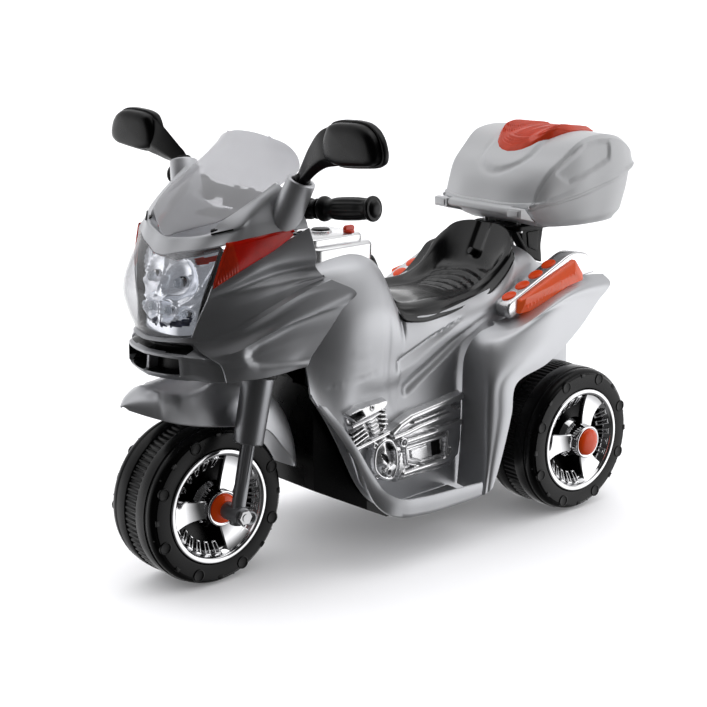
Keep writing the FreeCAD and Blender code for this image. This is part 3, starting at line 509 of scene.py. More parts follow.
GREY = mat("silver_plastic", srgb(206, 207, 210), rough=0.44, metal=0.64, vary=0.015, rvary=0.03, scale=9, bump=0.0, coat=0.12, spec=0.4)
# darker copy of the silver plastic for the nose fairing: painted shade; the real nose is likely the same silver as the
# body
SILVER_PAINTED_SHADE = mat("silver_plastic_painted_shade", srgb(178, 179, 182), rough=0.42, metal=0.66, vary=0.015, rvary=0.03, scale=9, bump=0.0, coat=0.12, spec=0.4)
CASE = mat("case_plastic", srgb(226, 227, 229), rough=0.45, metal=0.12, vary=0.015, rvary=0.03, scale=9, bump=0.0, coat=0.08, spec=0.4)
BLACK = mat("black_plastic", srgb(9, 9, 10), rough=0.28, vary=0.15, scale=90, bump=0.02, spec=0.22)
SEAT = mat("seat_plastic", srgb(14, 14, 15), rough=0.24, vary=0.15, scale=70, bump=0.02, coat=0.2, spec=0.5)
TYRE = mat("tyre_plastic", srgb(9, 9, 10), rough=0.28, vary=0.2, scale=80, bump=0.04, spec=0.22)
GRIP = mat("grip_plastic", srgb(10, 10, 11), rough=0.34, vary=0.2, scale=120, bump=0.05, spec=0.25)
CHROME = mat("bright_plating", (0.74, 0.74, 0.75, 1), rough=0.07, metal=1.0, vary=0.04, scale=40, bump=0.004, rvary=0.25)
# the orange caps carry a faint painted glow
CAP = mat("orange_cap", srgb(246, 74, 14), rough=0.22, vary=0.06, scale=50, bump=0.01, coat=0.15, spec=0.3, painted_glow=((1.0, 0.10, 0.01, 1), 0.12))
RED = mat("red_lens", srgb(236, 58, 22), rough=0.14, vary=0.10, scale=70, bump=0.02, coat=0.25, spec=0.35, trans=0.10)
REDDARK = mat("red_lens_dark", srgb(234, 30, 12), rough=0.14, vary=0.12, scale=70, bump=0.02, coat=0.25, spec=0.35, trans=0.10)
# the amber lamp bars carry a painted glow
AMBER = mat("amber_lens_painted_glow", srgb(240, 82, 32), rough=0.16, vary=0.08, scale=70, bump=0.02, coat=0.25, spec=0.35, trans=0.10, painted_glow=((1.0, 0.17, 0.04, 1), 0.20))
INSERT = mat("ribbed_lens", srgb(232, 74, 40), rough=0.24, vary=0.10, scale=70, bump=0.02, coat=0.1, spec=0.3)
STEEL = mat("zinc_steel", (0.52, 0.52, 0.53, 1), rough=0.3, metal=1.0, vary=0.08, scale=120, bump=0.03)
NYLON = mat("white_nylon", srgb(216, 212, 200), rough=0.45, vary=0.04, scale=90, bump=0.02)
FOIL = mat("mirror_foil", (0.86, 0.87, 0.88, 1), rough=0.04, metal=1.0, vary=0.02, scale=30, bump=0.004)
DEVICE = mat("device_grey", srgb(92, 94, 98), rough=0.5, vary=0.08, scale=80, bump=0.04)
NAVY = mat("navy_backing", srgb(30, 38, 78), rough=0.3, vary=0.1, scale=60, bump=0.01)
BULB = mat("bulb_glass", srgb(235, 240, 242), rough=0.05, vary=0.02, scale=40, bump=0.0, trans=0.8)
CLEAR = clear("clear_lens", (0.98, 0.98, 0.985, 1), haze=0.05, rim=0.40)
# the headlamp reflector plating carries a painted glow
LAMP = mat("lamp_plating_painted_glow", (0.88, 0.89, 0.92, 1), rough=0.12, metal=0.85, vary=0.04, scale=40, bump=0.0, rvary=0.2, painted_glow=((0.85, 0.90, 1.0, 1), 0.20))
TRIM = mat("satin_plating", (0.80, 0.80, 0.81, 1), rough=0.20, metal=0.78, vary=0.04, scale=40, bump=0.004, rvary=0.2)
# darker copy of the body grey for the fork: painted shade
FORK_PAINTED_SHADE = mat("fork_grey_painted_shade", srgb(150, 151, 154), rough=0.36, metal=0.6, vary=0.03, rvary=0.06, scale=14, bump=0.0, spec=0.4)
SHIELD = clear("clear_shield", (0.84, 0.84, 0.855, 1), haze=0.42, rim=0.10, gain=0.22)

SLOTMAT = {"body_grey": GREY, "case_grey": CASE, "black_plastic": BLACK, "seat_black": SEAT, "tyre_black": TYRE, "chrome_look": CHROME,
           "orange_cap": CAP, "red_lens": RED, "clear_lens": CLEAR, "steel": STEEL, "nylon": NYLON, "mirror_foil": FOIL,
           "grip_black": GRIP, "device_grey": DEVICE}
for sp in frame["record"]["subparts"]:
    ob = NODES[sp["node"]]
    ob.data.materials.clear()
    ob.data.materials.append(SLOTMAT[sp["material_slot"]])

# ---------------------------------------------------------------- body shells
body_rows = [
    (-78, [(0, 316), (28, 314), (50, 304), (57, 262), (58, 190), (58, 78)]),
    (-20, [(0, 336), (30, 334), (62, 324), (76, 285), (64, 212), (58, 64)]),
    (28, [(0, 366), (34, 364), (72, 352), (84, 300), (68, 214), (58, 56)]),
    (62, [(77, 353), (81, 351), (87, 332), (88, 282), (74, 216), (58, 50)]),
    (105, [(80, 317), (85, 315), (94, 304), (95, 262), (82, 218), (66, 46)]),
    (118, [(79, 313), (85, 311), (96, 300), (96, 258), (88, 210), (82, 46)]),
    (150, [(83, 308), (88.5, 306), (100, 291), (98, 248), (91, 207), (88, 46)]),
    (180, [(89, 305), (94, 302), (102, 283), (98, 246), (91, 209), (88, 48)]),
    (230, [(96, 302), (99.5, 298), (101, 276), (97, 243), (90.5, 209), (88, 48)]),
    (278, [(91, 305), (96, 300), (99, 276), (96, 241), (90, 209), (88, 50)]),
    (290, [(0, 380), (52, 372), (94, 316), (97, 241), (90.5, 209), (88, 52)]),
    (309, [(0, 386), (56, 380), (96, 327), (98, 243), (91, 207), (88, 60)]),
    (325, [(0, 388), (58, 383), (96.5, 330), (98.5, 244), (91, 207), (88, 68)]),
    (352, [(0, 388), (58, 382), (95.5, 330), (98, 250), (91, 207), (88, 98)]),
    (375, [(0, 386), (55, 379), (91, 328), (94.5, 250), (90, 190), (87, 143)]),
    (398, [(0, 382), (50, 375), (80, 325), (85, 262), (85.5, 215), (85, 186)]),
    (420, [(0, 375), (42, 369), (62, 325), (70, 275), (78, 240), (80, 226)]),
]
S = surf([[(x, y, z) for y, z in r] for x, r in body_rows], 4.0, 4.0, {0: (2, 3, 9, 10), 1: (2, 3, 9, 10), 2: (9, 10)})
N = normals(S, (180, -30, 170))
X, Y, Z = S[..., 0], S[..., 1], S[..., 2]
side = smooth(Y, 84, 89)
d = np.zeros(X.shape)
# folded front edge of the flank
dk, sk, pk = pl(X, Z, [(293, 358), (309, 327), (309, 290), (309, 233), (299, 195), (286, 170)])
d -= side * 1.2 * np.exp(-(dk / 3.5) ** 2) * smooth(Z, 175, 200)
# two flutes that run up to the saddle
G1 = [(290, 251), (235, 274), (172, 294)]
W1 = [(290, 232), (260, 243), (191, 284), (172, 294)]
f1 = smooth(inpoly(X, Z, G1 + W1[::-1][1:]), -1.0, 1.5)
a1, b1 = pl(X, Z, G1)[0], pl(X, Z, W1)[0]
d -= side * f1 * 5.0 * (1 - a1 / (a1 + b1 + 1e-6))
F2 = [(276, 215), (253, 231), (198, 265), (149, 283), (124, 288), (171, 265), (218, 231), (268, 198), (275, 203)]
d += side * recess(X, Z, F2, 4.6, 7.0)
d += side * groove(X, Z, [(406, 232), (366, 235), (326, 241)], 1.0, 1.6, 0.05)
for a, b, c, e in ((359, 272, 336, 275), (359, 253, 330, 258)):
    dd, ss, pp = pl(X, Z, [(a + 12, b), (a, b), (c, e)])
    d += side * 0.7 * np.exp(-(dd / 4.0) ** 2) * smooth(pp, 0, 0.3) * smooth(1 - pp, 0, 0.3)
# crease round the tank top
dd, ss, pp = pl(X, Y, [(392, 60), (381, 63), (356, 68), (324, 70), (300, 57)])
d += smooth(Z, 345, 362) * 1.2 * np.exp(-(dd / 5.0) ** 2)
S = S + N * d[..., None]
for nm, flip in (("left", False), ("right", True)):
    m = Mesh()
    m.shell(S, 2.5, (180, -30, 170))
    if flip:
        m = m.mirrored()
    m.done("body_" + nm, GREY, "chassis", "body_grey", ("body_shell_" + nm,), sharp=50)

# ---------------------------------------------------------------- foot rests
foot = [
    [(192, 91, 62), (192, 125, 61), (192, 147, 61), (192, 152, 64), (192, 153.5, 81)],
    [(237, 91, 61), (237, 125, 60), (237, 147, 60), (237, 152.5, 63), (238, 154, 83)],
    [(290, 91, 62), (293, 125, 61), (295, 147, 61), (296, 152.5, 64), (296, 153.5, 85)],
    [(314, 91, 70), (321, 122, 66), (327, 146, 65), (329, 151.5, 68.5), (327, 151.5, 88)],
    [(330, 91, 82), (340, 118, 77), (348, 142, 74), (351, 148.5, 76.5), (341, 147.5, 93)],
    [(343, 91, 98), (353, 115, 93), (360, 134, 88), (363.5, 140, 89.5), (351, 142, 100)],
    [(352, 91, 121), (361, 106, 121), (367, 117, 121), (369.5, 122, 123.5), (358.5, 124, 121)],
    [(363, 90.5, 148), (370, 99, 149), (374.5, 105, 149), (376.5, 108, 150), (367.5, 110, 149)],
    [(383, 87, 178), (387, 92, 177.5), (390, 96, 177), (391.5, 98, 177), (384.5, 99, 181.5)],
    [(404, 82, 207), (408, 84.5, 210), (411, 86, 212), (412.5, 87, 213.5), (403, 88.5, 208)],
]
S = surf(foot, 4, 2.5, bv=(3,))
X, Y, Z = S[..., 0], S[..., 1], S[..., 2]
N = normals(S, (300, 120, 20))
d = np.zeros(X.shape)
for k in range(8):
    d += 1.3 * np.exp(-((X - (204 + 12 * k)) / 2.2) ** 2) * smooth(Y, 98, 102) * smooth(-Y, -142, -138) * smooth(-Z, -72, -68)
S = S + N * d[..., None]
m = Mesh()
m.shell(S, 2.5, (300, 120, 20))
m.flip_copy()
m.done("foot_trays", GREY, "chassis", "body_grey", ("foot_rests",), sharp=50)

# ---------------------------------------------------------------- rear pods
pod = [
    [(174, 91, 60), (188, 148, 63), (182, 156, 66), (174, 157.5, 71)],
    [(172, 92, 95), (184, 147, 95), (178, 157, 95), (166, 158.5, 92)],
    [(170, 94, 168), (181, 146, 168), (165, 158, 167), (144, 160, 166)],
    [(174, 98, 210), (178, 146, 212), (160, 157, 209), (134, 159, 206)],
    [(176, 103, 238), (166, 143, 242), (120, 157, 236), (67, 154, 222)],
    [(168, 107, 258), (150, 140, 260), (80, 152, 262), (-2, 144, 253)],
    [(150, 109, 270), (124, 138, 270), (40, 146, 292), (-60, 129, 283)],
    [(128, 110, 275), (106, 134, 276), (12, 139, 308), (-97, 119, 301)],
    [(122, 103, 278), (98, 104, 280), (5, 106, 314), (-100, 102, 312)],
    [(116, 103, 266), (92, 99, 268), (0, 92, 302), (-95, 88, 298)],
]
S = surf(pod, 4, 4, bu=(8,))
m = Mesh()
m.shell(S, 2.5, (110, 105, 190))
m.flip_copy()
m.done("side_pods", GREY, "chassis", "body_grey", ("rear_pods",), sharp=45)

# ---------------------------------------------------------------- lamp trims, domes and bars on the pods
m = Mesh()
prism(m, [(108, 281), (114, 290), (113, 301), (104, 306), (-13, 357), (-44, 352), (-62, 334), (-60, 322), (4, 318)], 96.0, 121.0,
      r=[3, 5, 6, 5, 14, 14, 10, 4, 20], e=3.0, n=6, ne=5, both=True)
m.flip_copy()
m.done("lamp_trim", TRIM, "chassis", "chrome_look", ("lamp_trims",), sharp=40)
m = Mesh()
for x in (97.5, 72, 46.5, 21):
    z = 306 + (104 - x) * 51 / 117.0
    a = math.atan2(51, 117)
    up = (math.sin(a), 0, math.cos(a))
    S = lathe([(9.4, -2), (9.4, 0.4)] + [(9.2 * math.cos(t), 0.6 + 2.0 * math.sin(t)) for t in np.linspace(0.1, math.pi / 2, 6)], (x, 107, z), up, 28,
              e=((math.cos(a) * 1.16, 0, -math.sin(a) * 1.16), (0, 1, 0)))
    m.grid(S, 0, cv=True)
m.flip_copy()
m.done("marker_dome", CAP, "chassis", "orange_cap", ("marker_domes",), sharp=60)
m = Mesh()
bar = [(97, 287), (95, 305), (-13, 347), (-30, 325), (2, 316), (48, 288)]
ring = rpoly(bar, 2.5, 3)
c = np.array([40, 312.0])
rows = [place(ring, "y", 117.0), place(ring, "y", 124.0), place(inset(ring, 1.2), "y", 126.0)]
top = c + (ring - c) * np.array([0.93, 0.55])
rows += [place(top, "y", 130.2), place(c + (top - c) * np.array([0.97, 0.8]), "y", 131.0)]
m.grid(np.array(rows), 0, cv=True, cap0=True, cap1=True)
ax = np.array([-119, 0, 40.0]) / math.hypot(119, 40)
dn = np.array([-40, 0, -119.0]) / math.hypot(119, 40)
for k in range(15):
    t = k / 14
    p = np.array([86, 130.7, 297.5]) + (np.array([-7, 130.7, 328.0]) - np.array([86, 130.7, 297.5])) * t
    box8(m, p, (ax, dn, (0, 1, 0)), (1.6, 7.0, 1.0), 0, 0.4)
m.flip_copy()
m.done("lamp_bar", AMBER, "chassis", "red_lens", ("lamp_bars",), sharp=25)

# ---------------------------------------------------------------- saddle
seat = [
    [(35, 0, 388), (38, 32, 387), (44, 53, 381), (50, 64, 371), (53, 69, 366), (54, 70, 362), (57, 77, 357)],
    [(50, 0, 360), (52, 30, 359), (57, 50, 357), (62, 67, 359), (64, 72, 356), (65, 73.5, 351), (67, 84, 351)],
    [(63, 0, 334), (64, 29, 333), (70, 49, 333), (76, 66, 345), (78, 71, 342), (79, 73, 337), (80, 86, 337)],
    [(86, 0, 318), (87, 30, 317), (90, 50, 317), (95, 64, 331), (96, 69, 328), (97, 71.5, 323), (98, 86, 322)],
    [(122, 0, 310), (122, 28, 309), (122, 50, 308), (122, 64, 319), (122, 69, 317), (122, 71.5, 311), (122, 86, 309)],
    [(165, 0, 309), (165, 30, 308), (165, 54, 307), (164, 69, 315), (164, 75, 313.5), (163, 78, 307), (163, 91, 304)],
    [(215, 0, 313), (215, 30, 312), (215, 58, 311), (215, 78, 318), (215, 86, 315), (215, 90, 305), (215, 102, 300)],
    [(250, 0, 315), (250, 30, 314), (251, 56, 312), (254, 78, 318), (256, 87, 315), (257, 92, 305), (258, 102, 299)],
    [(264, 0, 322), (265, 30, 321), (267, 56, 318), (271, 76, 321), (273, 83, 317), (275, 88, 309), (278, 97, 303)],
    [(273, 0, 346), (273, 26, 344), (274, 48, 340), (277, 64, 335), (279, 71, 332), (281, 75, 329), (283, 81, 326)],
    [(281, 0, 384), (281, 18, 383), (282, 34, 380), (284, 46, 376), (286, 51, 373), (288, 55, 371), (290, 59, 368)],
]
S = surf(full(seat), 3.0, 3.0, bv=(1, 2, 10, 11))
X, Y, Z = S[..., 0], np.abs(S[..., 1]), S[..., 2]
N = normals(S, (160, 0, 200))
vs = np.linalg.norm(np.diff(S, axis=1), axis=2)
cum = np.concatenate([np.zeros((len(S), 1)), np.cumsum(vs, axis=1)], 1)
edge = np.minimum(cum, cum[:, -1:] - cum)
d = np.zeros_like(edge)
pad = smooth(X, 66, 74) * smooth(-X, -262, -246) * smooth(edge, 46, 54)
d += 1.8 * pad
for x0, c2, ym in ((72, 0.0055, 46), (84, 0.0065, 44), (96, 0.0075, 40), (110, 0.006, 34), (126, 0.004, 26)):
    dd = np.abs(X - (x0 + c2 * Y ** 2)) / np.sqrt(1 + (2 * c2 * Y) ** 2)
    d -= 1.7 * np.exp(-(dd / 2.2) ** 2) * smooth(ym + 6 - Y, 0, 8) * smooth(330 + 16 - Z, 0, 4)
    d += 0.8 * np.exp(-((dd - 5) / 2.6) ** 2) * smooth(ym + 6 - Y, 0, 8) * smooth(330 + 16 - Z, 0, 4)
band = smooth(13 - Y, 0, 2.5) * smooth(Z, 341, 345) * smooth(X, 80, 70)
d -= 2.6 * band
S = S + N * d[..., None]
m = Mesh()
m.shell(S, 3.0, (160, 0, 200))
kn = lathe(rprof([(0, 5), (4.2, 5), (5.6, 3), (5.6, -4)], 1.2, 3), (58, -2, 349), (0.9, 0, 0.42), 20)
m.grid(kn, 0, cv=True)
m.done("saddle", SEAT, "chassis", "seat_black", ("seat",), sharp=50)

# ---------------------------------------------------------------- mudguard
mud = [
    [(642, 0, 238), (640, 4, 237), (637, 9, 233)],
    [(618, 0, 250), (616, 24, 244), (612, 42, 224)],
    [(578, 0, 256), (577, 34, 246), (575, 54, 213)],
    [(536, 0, 257), (536, 36, 246), (536, 57, 205)],
    [(500, 0, 252), (500, 38, 241), (500, 57, 198)],
    [(460, 0, 240), (460, 42, 230), (467, 56, 186)],
    [(431, 0, 208), (431, 43, 197), (443, 54, 160)],
    [(417, 0, 168), (418, 42, 162), (425, 50, 140)],
    [(411, 0, 122), (412, 38, 124), (416, 45, 128)],
]
S = surf(full(mud), 3, 3)
X, Y, Z = S[..., 0], np.abs(S[..., 1]), S[..., 2]
N = normals(S, (525, 0, 120))
d = np.zeros(X.shape)
dd, ss, pp = pl(X, Y, [(592, 33), (572, 36), (549, 34), (515, 25), (470, 14)])
d += 3.4 * np.exp(-(dd / 6.0) ** 2) * smooth(pp, 0, 0.08)
dd, ss, pp = pl(X, Z, [(545, 220), (517, 228), (490, 232), (455, 214)])
d += 2.0 * np.exp(-(dd / 6.0) ** 2) * smooth(Y, 30, 38) * smooth(pp, 0, 0.2) * smooth(1 - pp, 0, 0.1)
dd, ss, pp = pl(X, Y, [(606, 12), (602, 20), (613, 38)])
d += 1.6 * np.exp(-(dd / 4.0) ** 2)
S = S + N * d[..., None]
m = Mesh()
m.shell(S, 2.5, (525, 0, 120))
m.done("mudguard", GREY, "steering", "body_grey", ("front_mudguard",), sharp=50)

# ---------------------------------------------------------------- fairing
side_rows = [
    [(564, 80, 383), (545, 88, 394), (518, 95.5, 408), (486, 102, 422), (447, 113, 441)],
    [(566, 77.5, 375), (545, 89.5, 383), (522, 98, 393.5), (494, 104, 402), (466, 110.5, 406), (441, 118, 408)],
    [(567, 75.5, 369), (540, 88.0, 376.5), (512, 94.5, 384), (484, 99, 389.5), (460, 105, 392), (438, 113.5, 394)],
    [(568, 73.5, 364), (537, 91.5, 371), (509, 101.5, 377), (481, 108.0, 380.5), (457, 114.5, 383.5), (434, 121, 384)],
    [(573, 63, 341), (548, 83, 349), (520, 97.5, 360), (488, 107, 369), (460, 113, 377), (431, 120, 382.4)],
    [(578, 56, 320), (549, 83.5, 326), (521, 99, 343), (490, 108.5, 358.5), (462, 113.5, 370.5), (429, 120, 380.8)],
    [(577.5, 57.5, 315), (547, 88, 322), (521, 103.5, 338.5), (491, 113.5, 354.5), (464, 119.5, 366.5), (424, 126, 378.8)],
    [(575, 66, 306), (549, 91.5, 313.5), (519, 104.5, 328.5), (487, 115, 345.5), (450, 122.5, 362), (394, 136, 361)],
    [(570, 80, 299), (548, 101.5, 306.5), (515, 113.5, 322), (482, 121.5, 333), (445, 129, 341), (408, 135.5, 345)],
    [(566, 88, 295), (546, 103, 300.5), (516, 112, 315.5), (483, 119, 326.5), (450, 126, 333), (414, 133, 337)],
    [(563, 93, 290), (546, 105, 292.5), (522, 113, 300), (490, 120.5, 308), (460, 126.5, 311), (434, 131.5, 315)],
    [(561, 95.5, 281.5), (545, 106.5, 283), (520, 116, 286.5), (490, 124, 287.5), (470, 127.5, 288), (459, 130, 288)],
    [(559, 97, 271), (545, 104.5, 272), (520, 114.5, 273), (492, 121.5, 276), (474, 126.5, 279.5), (465, 129, 281)],
]
S = lines(side_rows, 72, 2.2, (5, 6, 8))
X, Y, Z = S[..., 0], S[..., 1], S[..., 2]
N = normals(S, (520, 0, 330))
T = [(400, 350), (440, 338), (476, 328), (504, 317), (521, 310.5), (529, 305), (531.5, 299.5), (529, 294.5), (523, 291.5), (502, 289.5), (474, 288.5), (440, 290)]
t = inpoly(X, Z, T)
d = -5.0 * smooth(t, -11, 2.0) * smooth(X, 558, 545) * smooth(Z, 279, 287)
S = S + N * d[..., None]
m = Mesh()
m.shell(S, 2.5, (520, 0, 330))
nose_rows = [
    [(602, 0, 316.5), (598, 20, 317), (590, 40, 318.5), (577, 57, 320.5), (570, 64, 322)],
    [(606.5, 0, 313), (602, 22, 313.5), (592.5, 44, 314.5), (577, 61, 314.5), (566, 70, 314.5)],
    [(592, 0, 306), (588, 24, 306.5), (580, 47, 307.5), (569, 64, 306), (560, 79, 305)],
    [(607, 0, 299), (602, 28, 299), (592, 54, 299), (570, 78, 297), (556, 92, 296)],
    [(608, 0, 295), (603, 30, 295), (593, 54, 294.5), (568, 83, 291), (554, 95, 290)],
    [(610, 0, 276), (604, 30, 276), (593, 54, 276.5), (567, 86, 280), (552, 97, 282)],
    [(602, 0, 268.5), (596, 28, 268.5), (585, 56, 269.5), (562, 92, 271), (550, 99, 273)],
]
S = lines(nose_rows, 60, 1.8, (1, 3, 4, 5))
X, Y, Z = S[..., 0], S[..., 1], S[..., 2]
N = normals(S, (520, 0, 290))
slot_in = np.minimum.reduce([51 - Y, Z - 276.2, 295.0 - Z])
post = smooth(3.4 - np.abs(Y), 0, 1.6)
sl = smooth(slot_in, -0.6, 1.2)
S = S - np.array([1.0, 0.25, 0]) * (19.0 * sl * (1 - 0.65 * post))[..., None] - N * 1.2 * smooth(Y, 55, 64)[..., None]
# the nose takes the darker silver, painted shade; the recessed band between the upper ridge and the fin above the slot
# is painted black, painted shade under the overhang; the slot opening is black
m.shell(S, 2.0, (520, 0, 290), mat=(((sl > 0.5) & (post < 0.3)) | ((Z > 301.5) & (Z < 311.0) & (Y < 54))).astype(int)[:-1, :-1])
m.flip_copy()
m.done("nose_fairing_skin", [SILVER_PAINTED_SHADE, BLACK], "steering", "body_grey", ("nose_fairing",), sharp=36)

# ---------------------------------------------------------------- upper cowl
st = [
    [(470, 82, 486), (478, 90, 496), (474, 98, 489), (455, 109.5, 462), (449, 112.5, 442)],
    [(500, 76, 470), (505, 85, 479.5), (497, 95, 478), (490, 101.5, 455), (490, 105.5, 441)],
    [(518, 69, 459), (522, 78, 467.5), (517, 92, 465), (520, 95.5, 450), (520, 99.5, 438)],
    [(538, 60, 445), (543, 68, 453), (536, 87, 449.5), (535, 89.3, 446), (549, 88, 431.5)],
    [(546, 54, 435), (551.5, 62, 442), (552.5, 64.5, 441.4), (554, 66.4, 439.4), (562, 66, 425)],
    [(560, 21, 427), (566, 25, 433.4), (566.8, 26, 432.8), (568, 27.5, 430.8), (575, 33, 418.5)],
    [(566.5, 4, 425.5), (571.8, 5, 431.9), (572.5, 5.2, 431.2), (574, 5.6, 429), (582, 6.5, 412.4)],
]
st = st + [[(x, -y, z) for x, y, z in r] for r in reversed(st)]
S = surf(st, 2.5, 2.0, bv=(1, 3))
m = Mesh()
m.shell(S, 2.5, (510, 0, 400))
dk = [
    [(566, 0, 425), (565, 8, 425), (563, 15, 425)],
    [(550, 0, 430), (550, 30, 430), (548, 51, 431)],
    [(530, 0, 437), (530, 36, 437), (531, 64, 441)],
    [(505, 0, 447), (505, 42, 447), (506, 73, 455)],
    [(482, 0, 455), (482, 46, 455), (482, 80, 468)],
    [(470, 0, 452), (470, 46, 452), (469, 80, 466)],
]
S = surf(full(dk), 4, 4, bu=(4,))
m.shell(S, 2.0, (510, 0, 400), mat=((S[..., 0] > 486) & (S[..., 0] < 508) & (np.abs(S[..., 1]) < 34)).astype(int)[:-1, :-1])
mb, mt = np.array([468, 101, 464.0]), np.array([461, 117, 499.0])
md = (mt - mb) / np.linalg.norm(mt - mb)
for sg in (1, -1):
    f = np.array([1, sg, 1])
    a, e1, e2 = basis(md * f)
    fx = np.array([1.0, 0, 0]) - a * a[0]
    fx /= np.linalg.norm(fx)
    fy = np.cross(a, fx)
    L = np.linalg.norm(mt - mb)
    S = lathe([(18.5, -22), (18.5, -6), (17.2, 14), (16.2, L - 2.0), (15.7, L - 0.4), (14.8, L + 0.2), (12.4, L + 0.2), (11.4, L - 1.2), (10.8, L - 18), (0, L - 18)],
              mb * f, a, 40, e=(fx * 1.18, fy * 0.92))
    m.grid(S, 0, cv=True)
    for (x0, y0, z0), (x1, y1, z1), w in (((551.5, 61, 443.2), (534.5, 84, 450.6), 2.6), ((555, 66, 440.4), (538, 87.5, 447.0), 0.8)):
        pa, pb = np.array([x0, y0, z0]) * f, np.array([x1, y1, z1]) * f
        m.grid(tube([pa, pa * 0.98 + pb * 0.02, pa * 0.02 + pb * 0.98, pb], [(0.3, 0.4), (w, 1.1), (w, 1.1), (0.3, 0.4)], 14, up=(0.45, 0.35 * sg, 0.8)), 1, cv=True, cap0=True, cap1=True)
m.done("cowl", [GREY, BLACK], "steering", "body_grey", ("upper_cowl",), sharp=45)

# ---------------------------------------------------------------- windshield
sh = [((573, 433), (566, 17, 437)), ((560, 448), (545, 62, 453)), ((533, 475), (510, 83, 474)), ((498, 505), (472, 90, 493)),
      ((482, 519), (445, 91, 508)), ((468, 531), (438, 80, 522)), ((457, 541.5), (441, 63, 535)), ((452, 546), (447, 42, 541))]
half = []
for (cx, cz), (ex, ey, ez) in sh:
    half.append([(cx + (ex - cx) * f ** 2.2, ey * f, cz + (ez - cz) * f ** 2.2) for f in (0, 0.3, 0.6, 0.85, 1.0)])
S = surf(full(half), 4, 4)
m = Mesh()
m.shell(S, 2.0, (470, 0, 440))
m.done("shield", SHIELD, "steering", "clear_lens", ("windshield",), sharp=50)

# ---------------------------------------------------------------- headlamp
lens = [
    [(599, 0, 314), (593, 33, 314.5), (578, 56.5, 317)],
    [(613, 0, 343), (604, 36, 342), (574, 62.5, 341)],
    [(617, 0, 370), (609, 38, 369), (571, 69, 366)],
    [(602, 0, 395), (595, 42, 398), (563, 78, 398)],
    [(583, 0, 411), (574, 40, 419), (553, 84, 430)],
]
S = surf(full(lens), 3, 3)
m = Mesh()
m.shell(S, 2.0, (540, 0, 370))
m.done("lamp_lens", CLEAR, "steering", "clear_lens", ("headlamp_lens",), sharp=50)
refl = [
    [(586, 0, 318), (582, 29, 318.5), (570, 50, 321)],
    [(583, 0, 345), (578, 31, 345), (561, 56, 345)],
    [(581, 0, 370), (575, 34, 369), (555, 62, 368)],
    [(572, 0, 390), (566, 36, 393), (548, 70, 398)],
    [(563, 0, 402), (555, 34, 409), (541, 76, 422)],
]
S = surf(full(refl), 1.7, 1.7)
X, Y, Z = S[..., 0], np.abs(S[..., 1]), S[..., 2]
d = np.zeros(X.shape)
mi = np.zeros(X.shape, int)
for yc, zc, R, dep in ((27, 380, 24, 17), (16, 346, 13, 9), (40, 345, 9, 6)):
    rho = np.hypot(Y - yc, Z - zc)
    d -= dep * np.clip(1 - (rho / R) ** 2, 0, 1) ** 0.8
    d += 2.6 * np.exp(-((rho - R - 1) / 2.2) ** 2)
rib = pl(Y, Z, [(0, 356), (30, 360), (58, 374)])[0]
d += 3.5 * np.exp(-(rib / 2.4) ** 2)
rib = pl(Y, Z, [(4, 330), (26, 338), (50, 356)])[0]
d += 3.0 * np.exp(-(rib / 2.2) ** 2)
for k in range(6):
    d += 1.8 * np.exp(-(pl(Y, Z, [(52 + 2.2 * k, 372 + 4 * k), (60 + 2.6 * k, 384 + 6 * k)])[0] / 1.3) ** 2)
mi[(inpoly(Y, Z, [(20, 326), (44, 330), (48, 340), (22, 333)]) > 0) | (inpoly(Y, Z, [(3, 324), (16, 326), (3, 336)]) > 0)] = 1
mi[inpoly(Y, Z, [(44, 401), (76, 409), (76, 417), (36, 407)]) > 0] = 2
N = normals(S, (500, 0, 370))
S = S + N * d[..., None]
m = Mesh()
m.shell(S, 1.5, (500, 0, 370), mat=mi[:-1, :-1])
LG = surf(full(lens), 3, 3)
for o, i in ((LG[0], S[0]), (LG[-1], S[-1]), (LG[:, 0], S[:, 0]), (LG[:, -1], S[:, -1])):
    o, i = resample(o[::3], 40), resample(i[::4], 40)
    o = o + (np.array([540, 0, 370.0]) - o) * 0.035
    m.grid(np.array([i, i * 0.5 + o * 0.5 + (np.array([540, 0, 370.0]) - o) * 0.02, o]), 3)
m.done("lamp_reflector", [LAMP, NAVY, RED, BLACK], "steering", "chrome_look", ("headlamp_reflector",), sharp=50)
m = Mesh()
for yc, zc, x0, r in ((27, 380, 572, 6.0), (16, 346, 580, 5.0), (40, 345, 574, 4.0)):
    for sg in (1, -1):
        m.grid(lathe([(r + 1.5, -8), (r + 1.5, -1), (r, 0)], (x0, yc * sg, zc), (1, 0, 0), 20), 1, cv=True)
        m.grid(lathe([(r, 0)] + [(r * math.cos(t), 3 + r * math.sin(t)) for t in np.linspace(0, math.pi / 2, 7)], (x0, yc * sg, zc), (1, 0, 0), 20), 0, cv=True)
m.done("lamp_bulb", [BULB, CHROME], "steering", "clear_lens", ("lamp_bulbs",), sharp=60)

